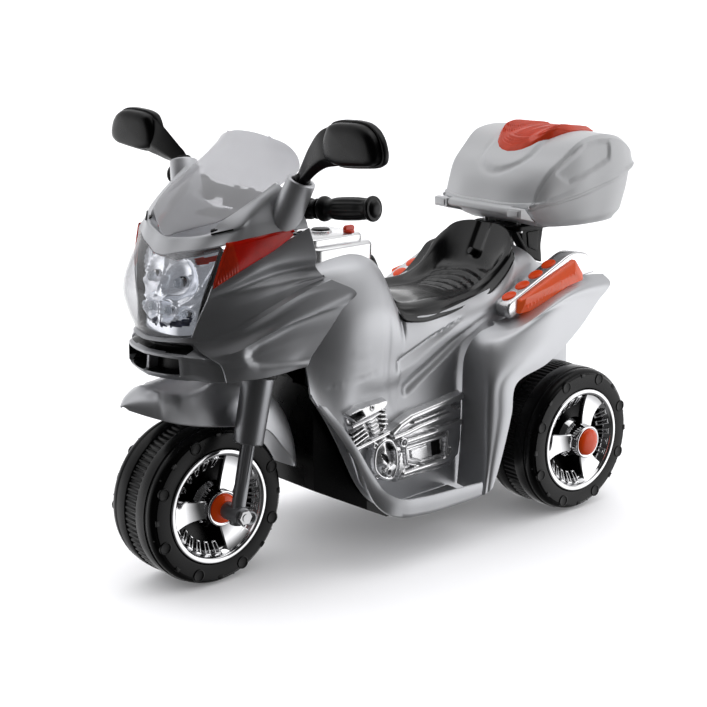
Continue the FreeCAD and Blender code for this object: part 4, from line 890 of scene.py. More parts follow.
# ---------------------------------------------------------------- turn lenses
tl = [
    [(563.5, 79.5, 379), (545.5, 86.5, 390), (518.5, 94, 404), (490, 100, 418), (466, 104, 433)],
    [(563, 81.5, 387), (545, 89, 398), (518, 96.5, 412), (490, 102.5, 425), (468, 106, 437)],
    [(557, 86, 411), (538, 93, 418), (514, 99.5, 426), (489, 104, 433), (467, 106.7, 440)],
    [(550, 90, 432.5), (532, 95.5, 435.5), (510, 101, 438.5), (488, 105, 441), (466.5, 107.5, 443)],
]
S = surf(tl, 1.6, 0.9)
X, Y, Z = S[..., 0], S[..., 1], S[..., 2]
N = normals(S, (510, 20, 400))
u = (563 - X) + (Z - 387) * 0.28
e = np.minimum.reduce([np.broadcast_to(np.arange(S.shape[0])[:, None], X.shape) * 1.6, np.broadcast_to(np.arange(S.shape[0])[::-1][:, None], X.shape) * 1.6,
                       np.broadcast_to(np.arange(S.shape[1])[None], X.shape) * 0.9])
d = 2.4 * smooth(e, 0, 3.0) + 0.45 * np.cos(u * 2 * math.pi / 3.6) * smooth(e, 2, 4) * smooth(34 - u, 0, 6)
S2 = S + N * d[..., None]
m = Mesh()
m.shell(S2, 2.5, (510, 20, 400), mat=(u > 31).astype(int)[:-1, :-1])
m.flip_copy()
m.done("turn_lens", [RED, REDDARK], "steering", "red_lens", ("turn_lenses",), sharp=50)

# ---------------------------------------------------------------- mirrors
head = [(162, 545), (165, 528), (189, 521.5), (215, 523), (252, 527), (263, 533), (265, 542), (261, 556), (253, 567), (239, 575), (221, 577), (190, 575.5), (173, 571), (166, 560)]
ring = rpoly(head, [10, 8, 12, 20, 10, 8, 8, 10, 10, 12, 20, 16, 12, 8], 4)
cc = np.array([211, 549.0])


def mring(s, x, drop=0.0):
    q = cc + (ring - cc) * s
    return np.stack([np.full(len(q), x) + (q[:, 0] - 211) * 0.03, q[:, 0], q[:, 1] - drop], 1)


for nm, flip, dr in (("left", False, 0.0), ("right", True, 18.0)):
    m = Mesh()
    rows = [mring(a, b, dr) for a, b in ((0.88, 460.6), (0.885, 459.0), (0.93, 457.6), (0.985, 458.0), (1.0, 460), (1.0, 464.5), (0.985, 465.8), (0.955, 466.2), (0.945, 465.4),
                                         (0.925, 465.4), (0.912, 466.6), (0.90, 471.0), (0.875, 474.2), (0.82, 476.6), (0.70, 478.4), (0.5, 479.6), (0.25, 480.3), (0.02, 480.6))]
    m.grid(np.array(rows), 0, cv=True, cap0=True, cap1=True)
    st = along(np.array([[q] for q in ((463, 112, 489 - dr * 0.0, 8.6, 8.6), (461.5, 117.5, 500, 10.4, 9.2), (462.5, 131, 515 - dr * 0.45, 14.0, 8.6), (464.5, 148, 530 - dr * 0.85, 19.0, 8.0),
                                       (466.5, 166, 541 - dr, 23.5, 7.6), (467.0, 184, 546 - dr, 25.0, 6.0))], float), 4)[:, 0]
    sec = rpoly([(-1.0, 0.0), (0.42, 1.0), (1.0, 0.1), (0.2, -0.9)], [0.22, 0.16, 0.3, 0.4], 4)
    rows = []
    for i, q in enumerate(st):
        t = st[min(i + 1, len(st) - 1), :3] - st[max(i - 1, 0), :3]
        t /= np.linalg.norm(t)
        e1 = np.cross(t, (1.0, 0, 0.0))
        e1 /= np.linalg.norm(e1)
        e2 = np.cross(e1, t)
        rows.append(q[:3] + sec[:, :1] * e1 * q[3] + sec[:, 1:] * e2 * q[4])
    m.grid(np.array(rows), 0, cv=True, cap0=True, cap1=True)
    m.grid(lathe([(9.9, -22), (9.9, 3), (8.6, 5)], (461, 117, 499), md, 28), 0, cv=True, cap0=True, cap1=True)
    if flip:
        m = m.mirrored()
    m.done("mirror_head_" + nm, BLACK, nm + "_mirror", "black_plastic", ("mirror_" + nm,), sharp=34)
    m = Mesh()
    m.grid(np.array([mring(a, b, dr) for a, b in ((0.875, 460.6), (0.875, 459.4), (0.86, 459.0), (0.5, 458.9), (0.02, 458.9))]), 0, cv=True, cap0=True)
    if flip:
        m = m.mirrored()
    m.done("mirror_face_" + nm, FOIL, nm + "_mirror", "mirror_foil", ("mirror_glass_" + nm,), sharp=40)

# ---------------------------------------------------------------- handlebar and grips
bar_pts = [(457, 0, 463), (438, 60, 463), (433, 114, 463), (418, 194, 471)]
P = [(p[0], -p[1], p[2]) for p in bar_pts[:0:-1]] + bar_pts
m = Mesh()
m.grid(tube(P, 9.0, 24, step=6), 0, cv=True, cap0=True, cap1=True)


def steer(p):
    c, s = math.cos(math.radians(12)), math.sin(math.radians(12))
    p = np.asarray(p, float)
    return np.stack([535 + p[..., 0] * c - p[..., 2] * s, p[..., 1], 100 + p[..., 0] * s + p[..., 2] * c], -1)


k = Mesh()
prism(k, [(-15, -22), (15, -22), (15, 22), (-15, 22)], 360, 384, "z", r=4, e=2.5, both=True)
for yy in (-14, 14):
    k.grid(lathe(rprof([(4.5, 383), (4.5, 387), (0, 387)], 1, 3), (0, yy, 0), (0, 0, 1), 6), 1, cv=True)
m.add(steer(np.concatenate(k.v)), k.f, k.m)
g0, g1 = np.array(bar_pts[2], float), np.array(bar_pts[3], float)
for sg in (1, -1):
    f = np.array([1, sg, 1])
    m.grid(lathe(rprof([(9, -20), (12.6, -19.5), (12.6, -11), (10.8, -10), (10.8, -4), (12.2, -3.4), (12.2, 0.5), (9, 1.0)], 0.6, 2), g0 * f, (g1 - g0) * f, 28), 0, cv=True)
m.done("bar", [BLACK, STEEL], "steering", "black_plastic", ("handlebar",), sharp=35)
g0, g1 = np.array(bar_pts[2], float), np.array(bar_pts[3], float)
gl = np.linalg.norm(g1 - g0)
gd = (g1 - g0) / gl
prof = [(9.2, 4), (11, 4.2), (13.6, 4.8), (14.8, 6.4), (14.8, 10.5), (13.8, 12.8), (12.0, 14.5), (11.4, 17.5), (11.9, 21), (12.9, 26), (13.5, 34), (13.7, 46), (13.5, 58), (12.9, gl - 6.5),
        (13.1, gl - 5.4), (14.2, gl - 4.8), (14.8, gl - 3.4), (14.8, gl - 0.4), (14.0, gl + 0.8), (11.8, gl + 1.0), (10.6, gl + 0.9), (10.0, gl + 1.6), (8.6, gl + 3.4), (5.5, gl + 4.8), (0, gl + 5.2)]
P = np.array([[(r, h, 0)] for r, h in prof])
pr = along(P, 1.8)[:, 0, :2]
S = lathe([tuple(p) for p in pr], g0, gd, 72)
ax = g0 + np.outer(pr[:, 1], gd)
fl = smooth(pr[:, 1], 26, 32) * smooth(-pr[:, 1], -(gl - 8), -(gl - 13))
th = np.arange(72)
rad = S - ax[:, None, :]
S = ax[:, None, :] + rad * (1 - 0.045 * fl[:, None] * (np.cos(th * 2 * math.pi * 12 / 72) < -0.2)[None])[..., None]
m = Mesh()
m.grid(S, 0, cv=True)
m.flip_copy()
m.done("grip", GRIP, "steering", "grip_black", ("grips",), sharp=45)

# ---------------------------------------------------------------- fork and stem
m = Mesh()
for sg in (1, -1):
    k = Mesh()
    y = 80.0 * sg
    k.grid(lathe(rprof([(0, -14), (7.2, -13.5), (8.4, -8), (8.6, 20), (9.0, 90)], 2, 3), (0, y, 0), (0, 0, 1), 32, sx=1.0), 0, cv=True)
    k.grid(lathe(rprof([(9, 90), (17.0, 87), (18.4, 88.5), (18.7, 114), (19.2, 150), (19.4, 168), (0, 168.5)], 1.2, 3), (0, y, 0), (0, 0, 1), 40), 0, cv=True)
    a, b = (60, 92) if sg > 0 else (-92, -60)
    k.grid(lathe(rprof([(5.05, a), (10, a), (11, a + 1), (11, b - 1), (10, b), (5.05, b)], 0.8, 3), (0, 0, 0), (0, 1, 0), 32), 0, cv=True)
    c0, c1 = (73.5, 90.5) if sg > 0 else (-90.5, -73.5)
    S = lathe(rprof([(4.6, c0), (8.2, c0), (9.2, c0 + 1), (9.2, c1 - 1), (8.4, c1), (6.4, c1), (5.6, c1 - 1.2 if sg > 0 else c1 - 1.2), (4.6, c1 - 1.4), (4.6, c0)], 0.5, 2), (-14, 0, -3), (0, 1, 0), 32)
    k.grid(S, 0, cv=True)
    prism(k, [(-14, -10), (0, -11), (0, 9), (-8, 10), (-14, 5)], 75 * sg, 88 * sg, "y", r=2, e=1.5, both=True)
    m.add(steer(np.concatenate(k.v)), k.f, k.m)
# the fork takes the darker grey copy: painted shade
m.done("fork", FORK_PAINTED_SHADE, "steering", "body_grey", ("fork_legs",), sharp=35)
m = Mesh()
k = Mesh()
prism(k, [(-20, -98), (20, -98), (20, 98), (-20, 98)], 168, 182, "z", r=12, e=2.5, both=True)
k.grid(lathe(rprof([(10.95, 181), (10.95, 359), (9, 360), (0, 360)], 1, 3), (0, 0, 0), (0, 0, 1), 32), 1, cv=True)
m.add(steer(np.concatenate(k.v)), k.f, k.m)
m.done("stem", [BLACK, STEEL], "steering", "black_plastic", ("steering_stem",), sharp=35)


# ---------------------------------------------------------------- wheels
def tyre_half():
    """Outer half of the tyre section, (radius, distance from the mid plane), from the middle outwards."""
    return [(97.4, 0.0), (97.4, 10.2), (97.8, 11.2), (99.6, 12.0), (100, 13.2), (100, 24.0), (99.7, 28.8), (98.4, 30.0), (98.2, 31.0), (98.8, 32.4), (98.6, 36.0), (97.6, 39.2),
            (95.6, 41.8), (94.2, 42.6), (93.2, 43.0), (92.6, 44.0), (91.4, 45.0), (88, 45.3), (76, 45.3), (73.2, 44.8), (72.2, 43.6), (72, 41)]


NT = int(84 * (4))


def tyre_mesh(M, cx, yc, inner, outer, hub0, hub1):
    h = tyre_half()
    prof = [(r, -y) for r, y in reversed(h)] + h[1:]
    S = lathe(prof, (cx, yc, 100), (0, 1, 0), NT, e=((1, 0, 0), (0, 0, 1)))
    a = np.arange(NT)
    bars = (a % (NT // 84)) < (NT // 168)
    ctr = np.array([cx, yc, 100.0])
    for i, (r, y) in enumerate(prof):
        if abs(y) < 10.6:
            v = S[i] - np.array([cx, yc + y, 100])
            S[i] = np.array([cx, yc + y, 100]) + v * np.where(bars, 1.018, 1.0)[:, None]
    M.grid(S, 0, cv=True)
    for sg, show in ((1, outer), (-1, inner)):
        # black web seen through the cover, drawn the same on both faces
        S = lathe([(72, 41), (70, 38), (60, 24), (46, 17), (24, 15), (14, 15)], (cx, yc, 100), (0, sg, 0), 64)
        M.grid(S, 0, cv=True)
        for k in range(8):
            t = math.radians(22.5 + 45 * k + (0 if sg > 0 else 22.5))
            p = np.array([cx + 87.2 * math.cos(t), yc + sg * 45.2, 100 + 87.2 * math.sin(t)])
            M.grid(lathe(rprof([(8.2, -1.6), (8.2, 0.9), (7.0, 1.2), (6.2, 0.9), (6.0, 0.3), (0, 0.3)], 0.4, 2), p, (0, sg, 0), 24), 0, cv=True)
            t2 = t + math.radians(22.5)
            e1 = (math.cos(t2), 0, math.sin(t2))
            e2 = (-math.sin(t2), 0, math.cos(t2))
            p = np.array([cx + 91.0 * e1[0], yc + sg * 43.9, 100 + 91.0 * e1[2]])
            box8(M, p, (e1, e2, (0, sg, 0)), (5.0, 7.5, 3.6), 0, 0.6)
            t3 = t + math.radians(9)
            e1 = (math.cos(t3), 0, math.sin(t3))
            e2 = (-math.sin(t3), 0, math.cos(t3))
            p = np.array([cx + 95.4 * e1[0], yc + sg * 38.6, 100 + 95.4 * e1[2]])
            box8(M, p, (e1, e2, (0, sg, 0)), (3.0, 2.2, 6.0), 0, 0.5)
    M.grid(lathe([(5.06, hub0), (14, hub0), (14, hub1), (5.06, hub1)], (cx, yc, 100), (0, 1, 0), 32), 0, cv=True)


def cover_mesh(M, cx, yf, sg, end):
    """Bright cover: dished rim with bars round its wall, three flared spokes, hub barrel."""
    ctr = (cx, yf, 100)
    M.grid(lathe(rprof([(71.4, -3.5), (71.6, 0.4), (70.6, 1.5), (67.0, 1.6), (64.8, 0.4), (63.6, -2.0), (59.6, -7.5), (58.6, -9.0), (57.4, -9.2), (57.0, -12), (60, -12), (66, -4.5), (71.4, -3.5)], 0.7, 3),
                 ctr, (0, sg, 0), 96), 0, cv=True)
    M.grid(lathe(rprof([(14.4, -10), (30, -16), (29, -14.6), (25, -9.5), (23.0, -4), (22.5, end - 1.4), (21.7, end - 0.2), (20.4, end), (18.8, end - 0.6), (14.4, end - 0.8), (14.4, -10)], 0.8, 3),
                 ctr, (0, sg, 0), 64), 0, cv=True)
    ey = np.array([0, sg, 0.0])
    for k in range(3):
        a = math.radians(120 * k)
        er = np.array([math.cos(a), 0, math.sin(a)])
        et = np.array([-math.sin(a), 0, math.cos(a)])
        rows = []
        for r, w, yd, th in ((19, 11.6, 1.0, 7), (27, 12.0, -2.0, 7), (38, 13.2, -4.4, 7), (49, 15.6, -5.2, 7), (57, 18.0, -4.4, 6), (64, 20.5, -2.6, 5)):
            sec = [(-w, -th), (-w, -1.3), (-w + 1.3, 0.0), (-w * 0.4, 0.25), (w * 0.4, 0.25), (w - 1.3, 0.0), (w, -1.3), (w, -th)]
            rows.append([np.array(ctr) + er * math.sqrt(max(r * r - (q * 0.55) ** 2, 1)) + et * q + ey * (yd + z) for q, z in sec])
        M.grid(along(np.array(rows), 4), 0, cv=True, cap0=True, cap1=True)
        # loops of two bars on the sloping wall between two spokes
        for j in range(-2, 3):
            for h in (-1, 1):
                t = a + math.radians(60 + 14.2 * j + 2.9 * h)
                er2 = np.array([math.cos(t), 0, math.sin(t)])
                et2 = np.array([-math.sin(t), 0, math.cos(t)])
                g = er2 * 15.5 + ey * 11.0
                box8(M, np.array(ctr) + er2 * 55.2 + ey * (-8.4), (g, et2, np.cross(g, et2)), (17.5, 2.3, 3.0), 0, 0.7)
            t = a + math.radians(60 + 14.2 * j)
            er2 = np.array([math.cos(t), 0, math.sin(t)])
            et2 = np.array([-math.sin(t), 0, math.cos(t)])
            g = er2 * 15.5 + ey * 11.0
            box8(M, np.array(ctr) + er2 * 48.2 + ey * (-13.4), (g, et2, np.cross(g, et2)), (2.4, 7.0, 3.0), 0, 0.7)
            box8(M, np.array(ctr) + er2 * 61.0 + ey * (-4.2), (g, et2, np.cross(g, et2)), (2.4, 9.0, 3.0), 0, 0.7)


def cap_mesh(M, cx, yf, sg, y1, y2, hole):
    prof = [(14.2, y1 - 6), (14.2, y1 - 0.2), (18.2, y1 - 0.1)] + [(18.4 * math.cos(t), y1 + (y2 - y1) * math.sin(t)) for t in np.linspace(0.0, math.pi / 2, 10)]
    if hole:
        prof = [p for p in prof[:3]] + [q for q in prof[3:] if q[0] > hole + 0.4] + [(hole, y2 - 0.6), (hole, y1 - 5)]
    M.grid(lathe(prof, (cx, yf, 100), (0, sg, 0), 48), 0, cv=True)


m = Mesh()
tyre_mesh(m, 535, 0, True, True, -48, 48)
m.done("tyre_front", TYRE, "front_wheel", "tyre_black", ("front_tyre",), sharp=32)
m = Mesh()
for sg in (1, -1):
    cover_mesh(m, 535, 45 * sg, sg, 9)
m.done("cover_front", CHROME, "front_wheel", "chrome_look", ("front_covers",), sharp=35)
m = Mesh()
for sg in (1, -1):
    cap_mesh(m, 535, 45 * sg, sg, 9, 14.0, 5.5)
m.done("cap_front", CAP, "front_wheel", "orange_cap", ("front_caps",), sharp=45)
for nm, sg in (("left", 1), ("right", -1)):
    b = "rear_wheel_" + nm
    m = Mesh()
    tyre_mesh(m, 0, 112 * sg, False, True, *((-42, 48) if sg > 0 else (-48, 42)))
    m.done("tyre_" + nm, TYRE, b, "tyre_black", ("rear_tyre_" + nm,), sharp=32)
    m = Mesh()
    cover_mesh(m, 0, 157 * sg, sg, 13)
    m.done("cover_" + nm, CHROME, b, "chrome_look", ("rear_cover_" + nm,), sharp=35)
    m = Mesh()
    cap_mesh(m, 0, 157 * sg, sg, 13, 18.5, 0)
    m.done("cap_" + nm, CAP, b, "orange_cap", ("rear_cap_" + nm,), sharp=45)

# ---------------------------------------------------------------- top case
plan = [(41, 76), (6, 93), (-50, 104), (-122, 103.5), (-166, 91), (-181, 62)]
plan = plan + [(x, -y) for x, y in reversed(plan)]
PR = rpoly(plan, [18, 30, 40, 34, 26, 30, 30, 26, 34, 40, 30, 18], 8)
CC = np.array([-68.0, 0.0])


def zb(x):
    return 460 + (x + 177) * (415.2 - 460) / 216.0


# lid: a visor that is flat across, folded along a crease into upright sides
lid = [
    [(41, 0, 415.6), (40.5, 45, 415.6), (34, 79, 416.2), (33.7, 80, 416.2), (33.5, 81, 416.2)],
    [(40, 0, 421), (39, 46, 421), (29.5, 82, 423.5), (28.5, 84, 422), (30, 83, 417)],
    [(34.5, 0, 441), (32.5, 47, 440.8), (23, 83.5, 440), (21.6, 87, 436.5), (24, 86, 418.5)],
    [(17, 0, 463.5), (15.5, 49, 463.5), (8.2, 88.5, 463.6), (7.2, 92.6, 460), (8, 93, 421.8)],
    [(-9, 0, 482), (-10.5, 51, 482.2), (-16, 94.5, 483), (-17, 98.6, 479), (-18, 99, 427.2)],
    [(-38, 0, 500.5), (-39.5, 53, 501), (-44, 98.5, 502.6), (-45.5, 103, 498), (-48, 104, 433.5)],
    [(-70, 0, 508), (-71, 54, 508.2), (-73, 98.5, 508.6), (-74.5, 103.6, 503.5), (-76, 104.2, 439.2)],
    [(-108, 0, 509), (-109, 53, 508.6), (-112, 97, 507), (-113.5, 103, 501.5), (-114, 103.8, 447)],
    [(-140, 0, 503), (-140.5, 50, 502), (-141.5, 92, 498), (-143, 98.4, 492.5), (-144, 99, 453.2)],
    [(-166, 0, 486), (-166, 46, 485.2), (-166, 84, 480), (-167.5, 89.6, 475.5), (-167, 90.6, 457.8)],
    [(-180, 0, 470), (-179.5, 42, 469.5), (-177, 70, 467.5), (-178, 75, 465.5), (-177.5, 75.5, 460)],
    [(-183, 0, 461), (-182.5, 40, 461), (-180, 65, 460.6), (-180, 66, 460.4), (-180, 67, 460.2)],
]
S = surf(full(lid), 2.6, 2.6, bv=(1, 2, 6, 7))
X, Y, Z = S[..., 0], np.abs(S[..., 1]), S[..., 2]
N = normals(S, (-68, 0, 430))
top_part = smooth(96 - Y, 0, 6)
U = [(-110, -42), (-29, -42), (-9, -41), (5, -35), (13, -25), (18, -13), (20, 0), (18, 13), (13, 25), (5, 35), (-9, 41), (-29, 42), (-110, 42)]
du = inpoly(X, S[..., 1], U)
d = (2.2 * smooth(du, -3.5, 3.5) - 1.6 * np.exp(-((du + 4.0) / 3.6) ** 2)) * top_part * smooth(X, -108, -90)
sp = [(-1, 462), (-27, 480), (-55, 498), (-79, 501), (-99, 500), (-104, 493), (-102, 474), (-81, 466), (-47, 454), (-23, 448), (-11, 454)]
d += recess(X, Z, sp, 2.6, 3.0) * smooth(Y, 84, 91)
low = Z - zb(X)
d += 2.2 * smooth(5.5 - low, 0, 1.0)
S = S + N * d[..., None]
m = Mesh()
m.shell(S, 3.0, (-68, 0, 430))
prism(m, [(35, 419), (35, 413.5), (41.5, 411.5), (43, 407), (47, 405.4), (51, 407), (52.6, 411), (51, 415), (47, 416.8), (42, 417.4)], -57.2, 57.2, "y", r=2.0, e=0.8, both=True)
m.done("case_lid", CASE, "case_lid", "case_grey", ("top_case_lid",), sharp=40)

# ribbed insert: a front lip, a valley behind it and a raised horn on each side
LX = np.array([34.5, 17, -9, -38, -70, -108, -140, -166][::-1], float)
LZ = np.array([441, 463.5, 482, 500.5, 508, 509, 503, 486][::-1], float)
tl2 = along(np.array([[(x, 0, z)] for x, z in zip(LX, LZ)]), 2.0)[:, 0]
nu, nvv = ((58, 81))
FY = [0, 12, 22, 32, 40, 46, 50, 53]
FX = [-5, -7, -11, -19, -31, -46, -66, -86]
rows = []
for u in np.linspace(0, 1, nu):
    r = []
    for v in np.linspace(-1, 1, nvv):
        y = v * 53 * (1 - 0.10 * u ** 1.5)
        xf = float(np.interp(abs(v) * 53, FY, FX))
        x = xf + (-132 - xf) * u
        z = float(np.interp(x, tl2[:, 0], tl2[:, 2]))
        ed = min(u * (xf + 132), (1 - u) * (xf + 132) * 0.9, (1 - abs(v)) * 50)
        lip = smooth(np.array(ed), -1.5, 7.0)
        inner = smooth(np.array(min(xf - x - 24.0, 30.0 - abs(y))), -0.8, 2.0)
        horn = math.exp(-((abs(y) - 42.0) / 9.0) ** 2) * math.exp(-((x + 62.0) / 26.0) ** 2)
        z += 4.5 * float(lip) - 1.6 - 1.9 * float(inner) + 6.5 * horn * float(lip)
        z += 0.7 * math.cos(2 * math.pi * (xf - x) / 4.4) * float(smooth(np.array(ed), 4, 8))
        r.append((x, y, z + 2.6))
    rows.append(r)
S = np.array(rows)
m = Mesh()
m.grid(S, 0)
e0 = np.concatenate([S[0], S[1:, -1], S[-1, ::-1][1:], S[::-1, 0][1:-1]])
m.grid(np.array([e0, e0 - np.array([0, 0, 5.5])]), 0, cv=True, cap1=True)
m.done("lid_insert", INSERT, "case_lid", "red_lens", ("lid_reflector",), sharp=40)

rows = []
for w in np.concatenate([np.linspace(0, 0.16, 5), np.linspace(0.24, 0.8, 8), np.linspace(0.86, 1.0, 6)]):
    f1, f2 = float(smooth(np.array(w), 0.05, 1.25)), float(smooth(np.array(w), 0.80, 1.0))
    px0, py0 = PR[:, 0] - CC[0], PR[:, 1]
    qx = np.where(px0 > 0, px0 * (1 - 0.42 * f1 - 0.03 * f2), px0 * (1 - 0.15 * f1 - 0.09 * f2))
    qy = py0 * (1 - 0.075 * f1 - 0.035 * f2)
    zt = zb(PR[:, 0]) - 1.2
    rows.append(np.stack([CC[0] + qx, qy, zt * (1 - w) + 385.2 * w], 1))
q = rows[-1]
for sc in (0.93, 0.6, 0.2, 0.002):
    rows.append(np.stack([CC[0] + (q[:, 0] - CC[0]) * sc, q[:, 1] * sc, np.full(len(q), 385.0)], 1))
S = np.array(rows)
Sx = np.concatenate([S[:, -1:], S, S[:, :1]], 1)
N = normals(Sx, (-68, 0, 425))[:, 1:-1]
X, Y, Z = S[..., 0], np.abs(S[..., 1]), S[..., 2]
low = (zb(X) - 1.2) - Z
d = 2.0 * smooth(4.5 - low, 0, 0.8) * (Z > 400)
S = S + N * d[..., None]
m = Mesh()
m.shell(S, 3.0, (-68, 0, 425), cv=True, N=N)
for sg in (1, -1):
    prism(m, [(22, 396), (46, 402.5), (53, 404), (53.5, 416.5), (45, 417.5), (41, 413), (36, 408)], 57.8 * sg, 83.0 * sg, "y", r=1.8, e=1.2, both=True)
    prism(m, [(52.5, 406), (54.6, 406.6), (54.6, 414), (52.5, 415)], 62 * sg, 79 * sg, "y", r=0.8, e=0.8, both=True)
m.done("case_base", CASE, "chassis", "case_grey", ("top_case_base",), sharp=40)

m = Mesh()
prism(m, [(-112, -44), (16, -44), (16, 44), (-112, 44)], 376.5, 384.4, "z", r=10, e=2.0, both=True)
for sg in (1, -1):
    prism(m, [(-52, 379), (-4, 379), (-9, 352), (-11, 341), (-22, 336), (-50, 324), (-47, 350)], 20.5 * sg, 31.5 * sg, "y", r=4, e=1.6, both=True)
    prism(m, [(-40, 372), (-16, 372), (-19, 350), (-38, 342)], 31.5 * sg, 33.2 * sg, "y", r=3, e=0.8)
    prism(m, [(10, 377), (16, 377), (-6, 345), (-12, 345)], 26 * sg, 40 * sg, "y", r=2, e=1.0, both=True)
m.done("case_rack", BLACK, "chassis", "black_plastic", ("rack_bracket",), sharp=35)

# ---------------------------------------------------------------- engine panels
ST = 0.8 * Q
gx, gz = np.arange(381, 166, -ST), np.arange(72, 211, ST)
X, Z = np.meshgrid(gx, gz, indexing="ij")
HID = 85.0
H = np.full(X.shape, HID)
DK = np.zeros(X.shape, int)


def raised(poly, level, e=2.0):
    global H
    sd = inpoly(X, Z, poly)
    H = np.maximum(H, np.where(sd > -0.4, HID + 5 + (level - HID - 5) * smooth(sd, -0.4, e), HID))


def sunk(poly, level, wall=1.6, dark=True):
    global H
    sd = inpoly(X, Z, poly)
    k = smooth(sd, 0, wall)
    H = np.where(sd > 0, H * (1 - k) + np.minimum(H, level) * k, H)
    if dark:
        DK[sd > wall * 0.7] = 1


def pipe(line, r, y0):
    global H
    dd = pl(X, Z, line)[0]
    H = np.maximum(H, np.where(dd < r, y0 + np.sqrt(np.maximum(r * r - dd * dd, 0)), HID))


def ringed(x, z, r0, r1, y0, hole):
    global H
    rho = np.hypot(X - x, Z - z)
    w = (r1 - r0) / 2
    H = np.where(rho < r0, hole, np.maximum(H, np.where(rho < r1, y0 + np.sqrt(np.maximum(w * w - (rho - r0 - w) ** 2, 0)), HID)))
    DK[rho < r0 * 0.8] = 1


def fins(poly, org, nrm, period, lo, hi):
    global H
    sd = inpoly(X, Z, poly)
    t = (X - org[0]) * nrm[0] + (Z - org[1]) * nrm[1]
    w = smooth(np.cos(2 * math.pi * t / period), -0.15, 0.35)
    H = np.where(sd > 0, lo + (hi - lo) * w * smooth(sd, 0, 1.6), H)
    DK[(sd > 0.8) & (w < 0.2)] = 1


raised([(303, 161), (290, 168), (268, 178), (220, 183), (174, 190), (169.5, 178), (170, 123), (174, 101), (191, 90), (289, 88), (296, 100), (297, 130)], 93.5)
raised([(377, 197), (359, 204), (311, 206), (306, 200), (303, 168), (300, 158), (333, 143), (364, 146), (368, 170)], 92.5)
OV = [tuple(q) for q in rpoly([(313, 155), (331, 146), (335, 128), (333, 113), (322, 101), (309, 95), (299, 95), (292, 106), (290, 120), (292, 137), (301, 151)], 8, 4)]
raised(OV, 95.5)
fins([(348, 181), (369, 172), (365, 147), (335, 158)], (347, 179), (0.342, 0.94), 6.0, 91.0, 98.5)
fins([(326, 196), (309, 193), (304, 168), (314, 160)], (318, 192), (-0.2, 0.98), 6.0, 91.0, 98.0)
raised([(345, 187), (329, 190), (317, 162), (333, 156)], 99.0, 3.0)
sd = inpoly(X, Z, [(344, 186), (329, 189), (318, 163), (333, 157)])
H = np.where(sd > 1.5, H + 1.3 * np.cos(2 * math.pi * ((X - 336) * 0.35 + (Z - 172) * 0.94) / 5.4) * smooth(sd, 1.5, 3.5), H)
pipe([(367, 178.5), (341, 183.5), (314, 190)], 2.4, 97.5)
raised([(359, 203), (311, 206), (307, 200), (314, 192), (365, 182), (378, 197)], 101.5, 2.6)
sunk([(375, 195.5), (354, 199.5), (348, 190.5), (363, 185)], 92.5)
ringed(337, 199, 1.6, 4.2, 101.0, 98.0)
pipe([(365, 146.5), (302, 158.5)], 2.8, 96.0)
sd = inpoly(X, Z, OV)
H = np.where(np.abs(sd - 3.0) < 3.0, np.maximum(H, 98.6 + np.sqrt(np.maximum(9.0 - (sd - 3.0) ** 2, 0)) * 1.15), H)
H = np.where(sd > 6, 95.5 + 4.5 * smooth(sd, 6, 20), H)
sunk([(304, 147), (296, 136), (300, 131), (309, 142)], 94.0, 1.2)
sunk([(319, 136), (306, 128), (303, 118), (309, 119), (317, 127)], 94.5, 1.2)
raised([(318, 112), (311, 97), (291, 112), (299, 120)], 101.5, 2.0)
ringed(307.5, 107.5, 3.0, 5.6, 101.0, 94.0)
ringed(330, 147.5, 1.5, 4.2, 99.5, 97.0)
ringed(326, 105.5, 1.5, 4.2, 99.0, 96.5)
pipe([(299, 157), (286.5, 165), (266.5, 172), (220, 177.5), (174, 183)], 5.0, 97.0)
pipe([(262, 163.6), (203, 169.2)], 1.9, 98.0)
pipe([(296, 150), (273, 152.5), (251, 156.5), (197, 162.0)], 3.6, 97.0)
pipe([(274, 141), (225, 143), (176, 147.5)], 3.8, 97.0)
sd = inpoly(X, Z, [(273, 130), (204, 132), (200, 104), (241, 102), (270, 112)])
H = np.where(np.abs(sd + 2.2) < 2.2, np.maximum(H, 96.4 + np.sqrt(np.maximum(4.84 - (sd + 2.2) ** 2, 0))), H)
sunk([(273, 130), (204, 132), (200, 104), (241, 102), (270, 112)], 92.0, 2.0, dark=False)
raised([(264, 126), (232, 128), (229, 109), (246, 107), (262, 114)], 94.6, 1.5)
sunk([(226, 129), (208, 130), (206, 108), (223, 107)], 91.4, 1.2)
raised([(287, 131), (291, 90), (285, 88), (271, 98), (278, 112), (280, 129)], 98.5, 2.2)
pipe([(280, 98.5), (208, 101), (197, 106), (194, 114)], 4.2, 97.0)
pipe([(199.5, 138), (203.5, 108)], 3.0, 97.0)
raised([(289, 88), (192, 90), (187, 95), (289, 94.5)], 95.0, 1.2)
ringed(282, 142, 3.0, 7.4, 100.5, 95.5)
ringed(181, 169, 1.8, 4.4, 98.5, 96.5)
m = Mesh()
S = np.stack([X, H, Z], 2)
a, b = X.shape
idx = np.arange(a * b).reshape(a, b)
keep = np.maximum.reduce([H[:-1, :-1], H[1:, :-1], H[:-1, 1:], H[1:, 1:]]) > HID + 0.01
F = np.stack([idx[:-1, :-1], idx[1:, :-1], idx[1:, 1:], idx[:-1, 1:]], -1)[keep]
used = np.unique(F)
remap = np.full(a * b, -1)
remap[used] = np.arange(len(used))
m.add(S.reshape(-1, 3)[used], [tuple(int(i) for i in f) for f in remap[F]], DK[:-1, :-1][keep])
m.flip_copy()
m.done("engine_relief", [TRIM, BLACK], "chassis", "chrome_look", ("engine_panels",), sharp=50)

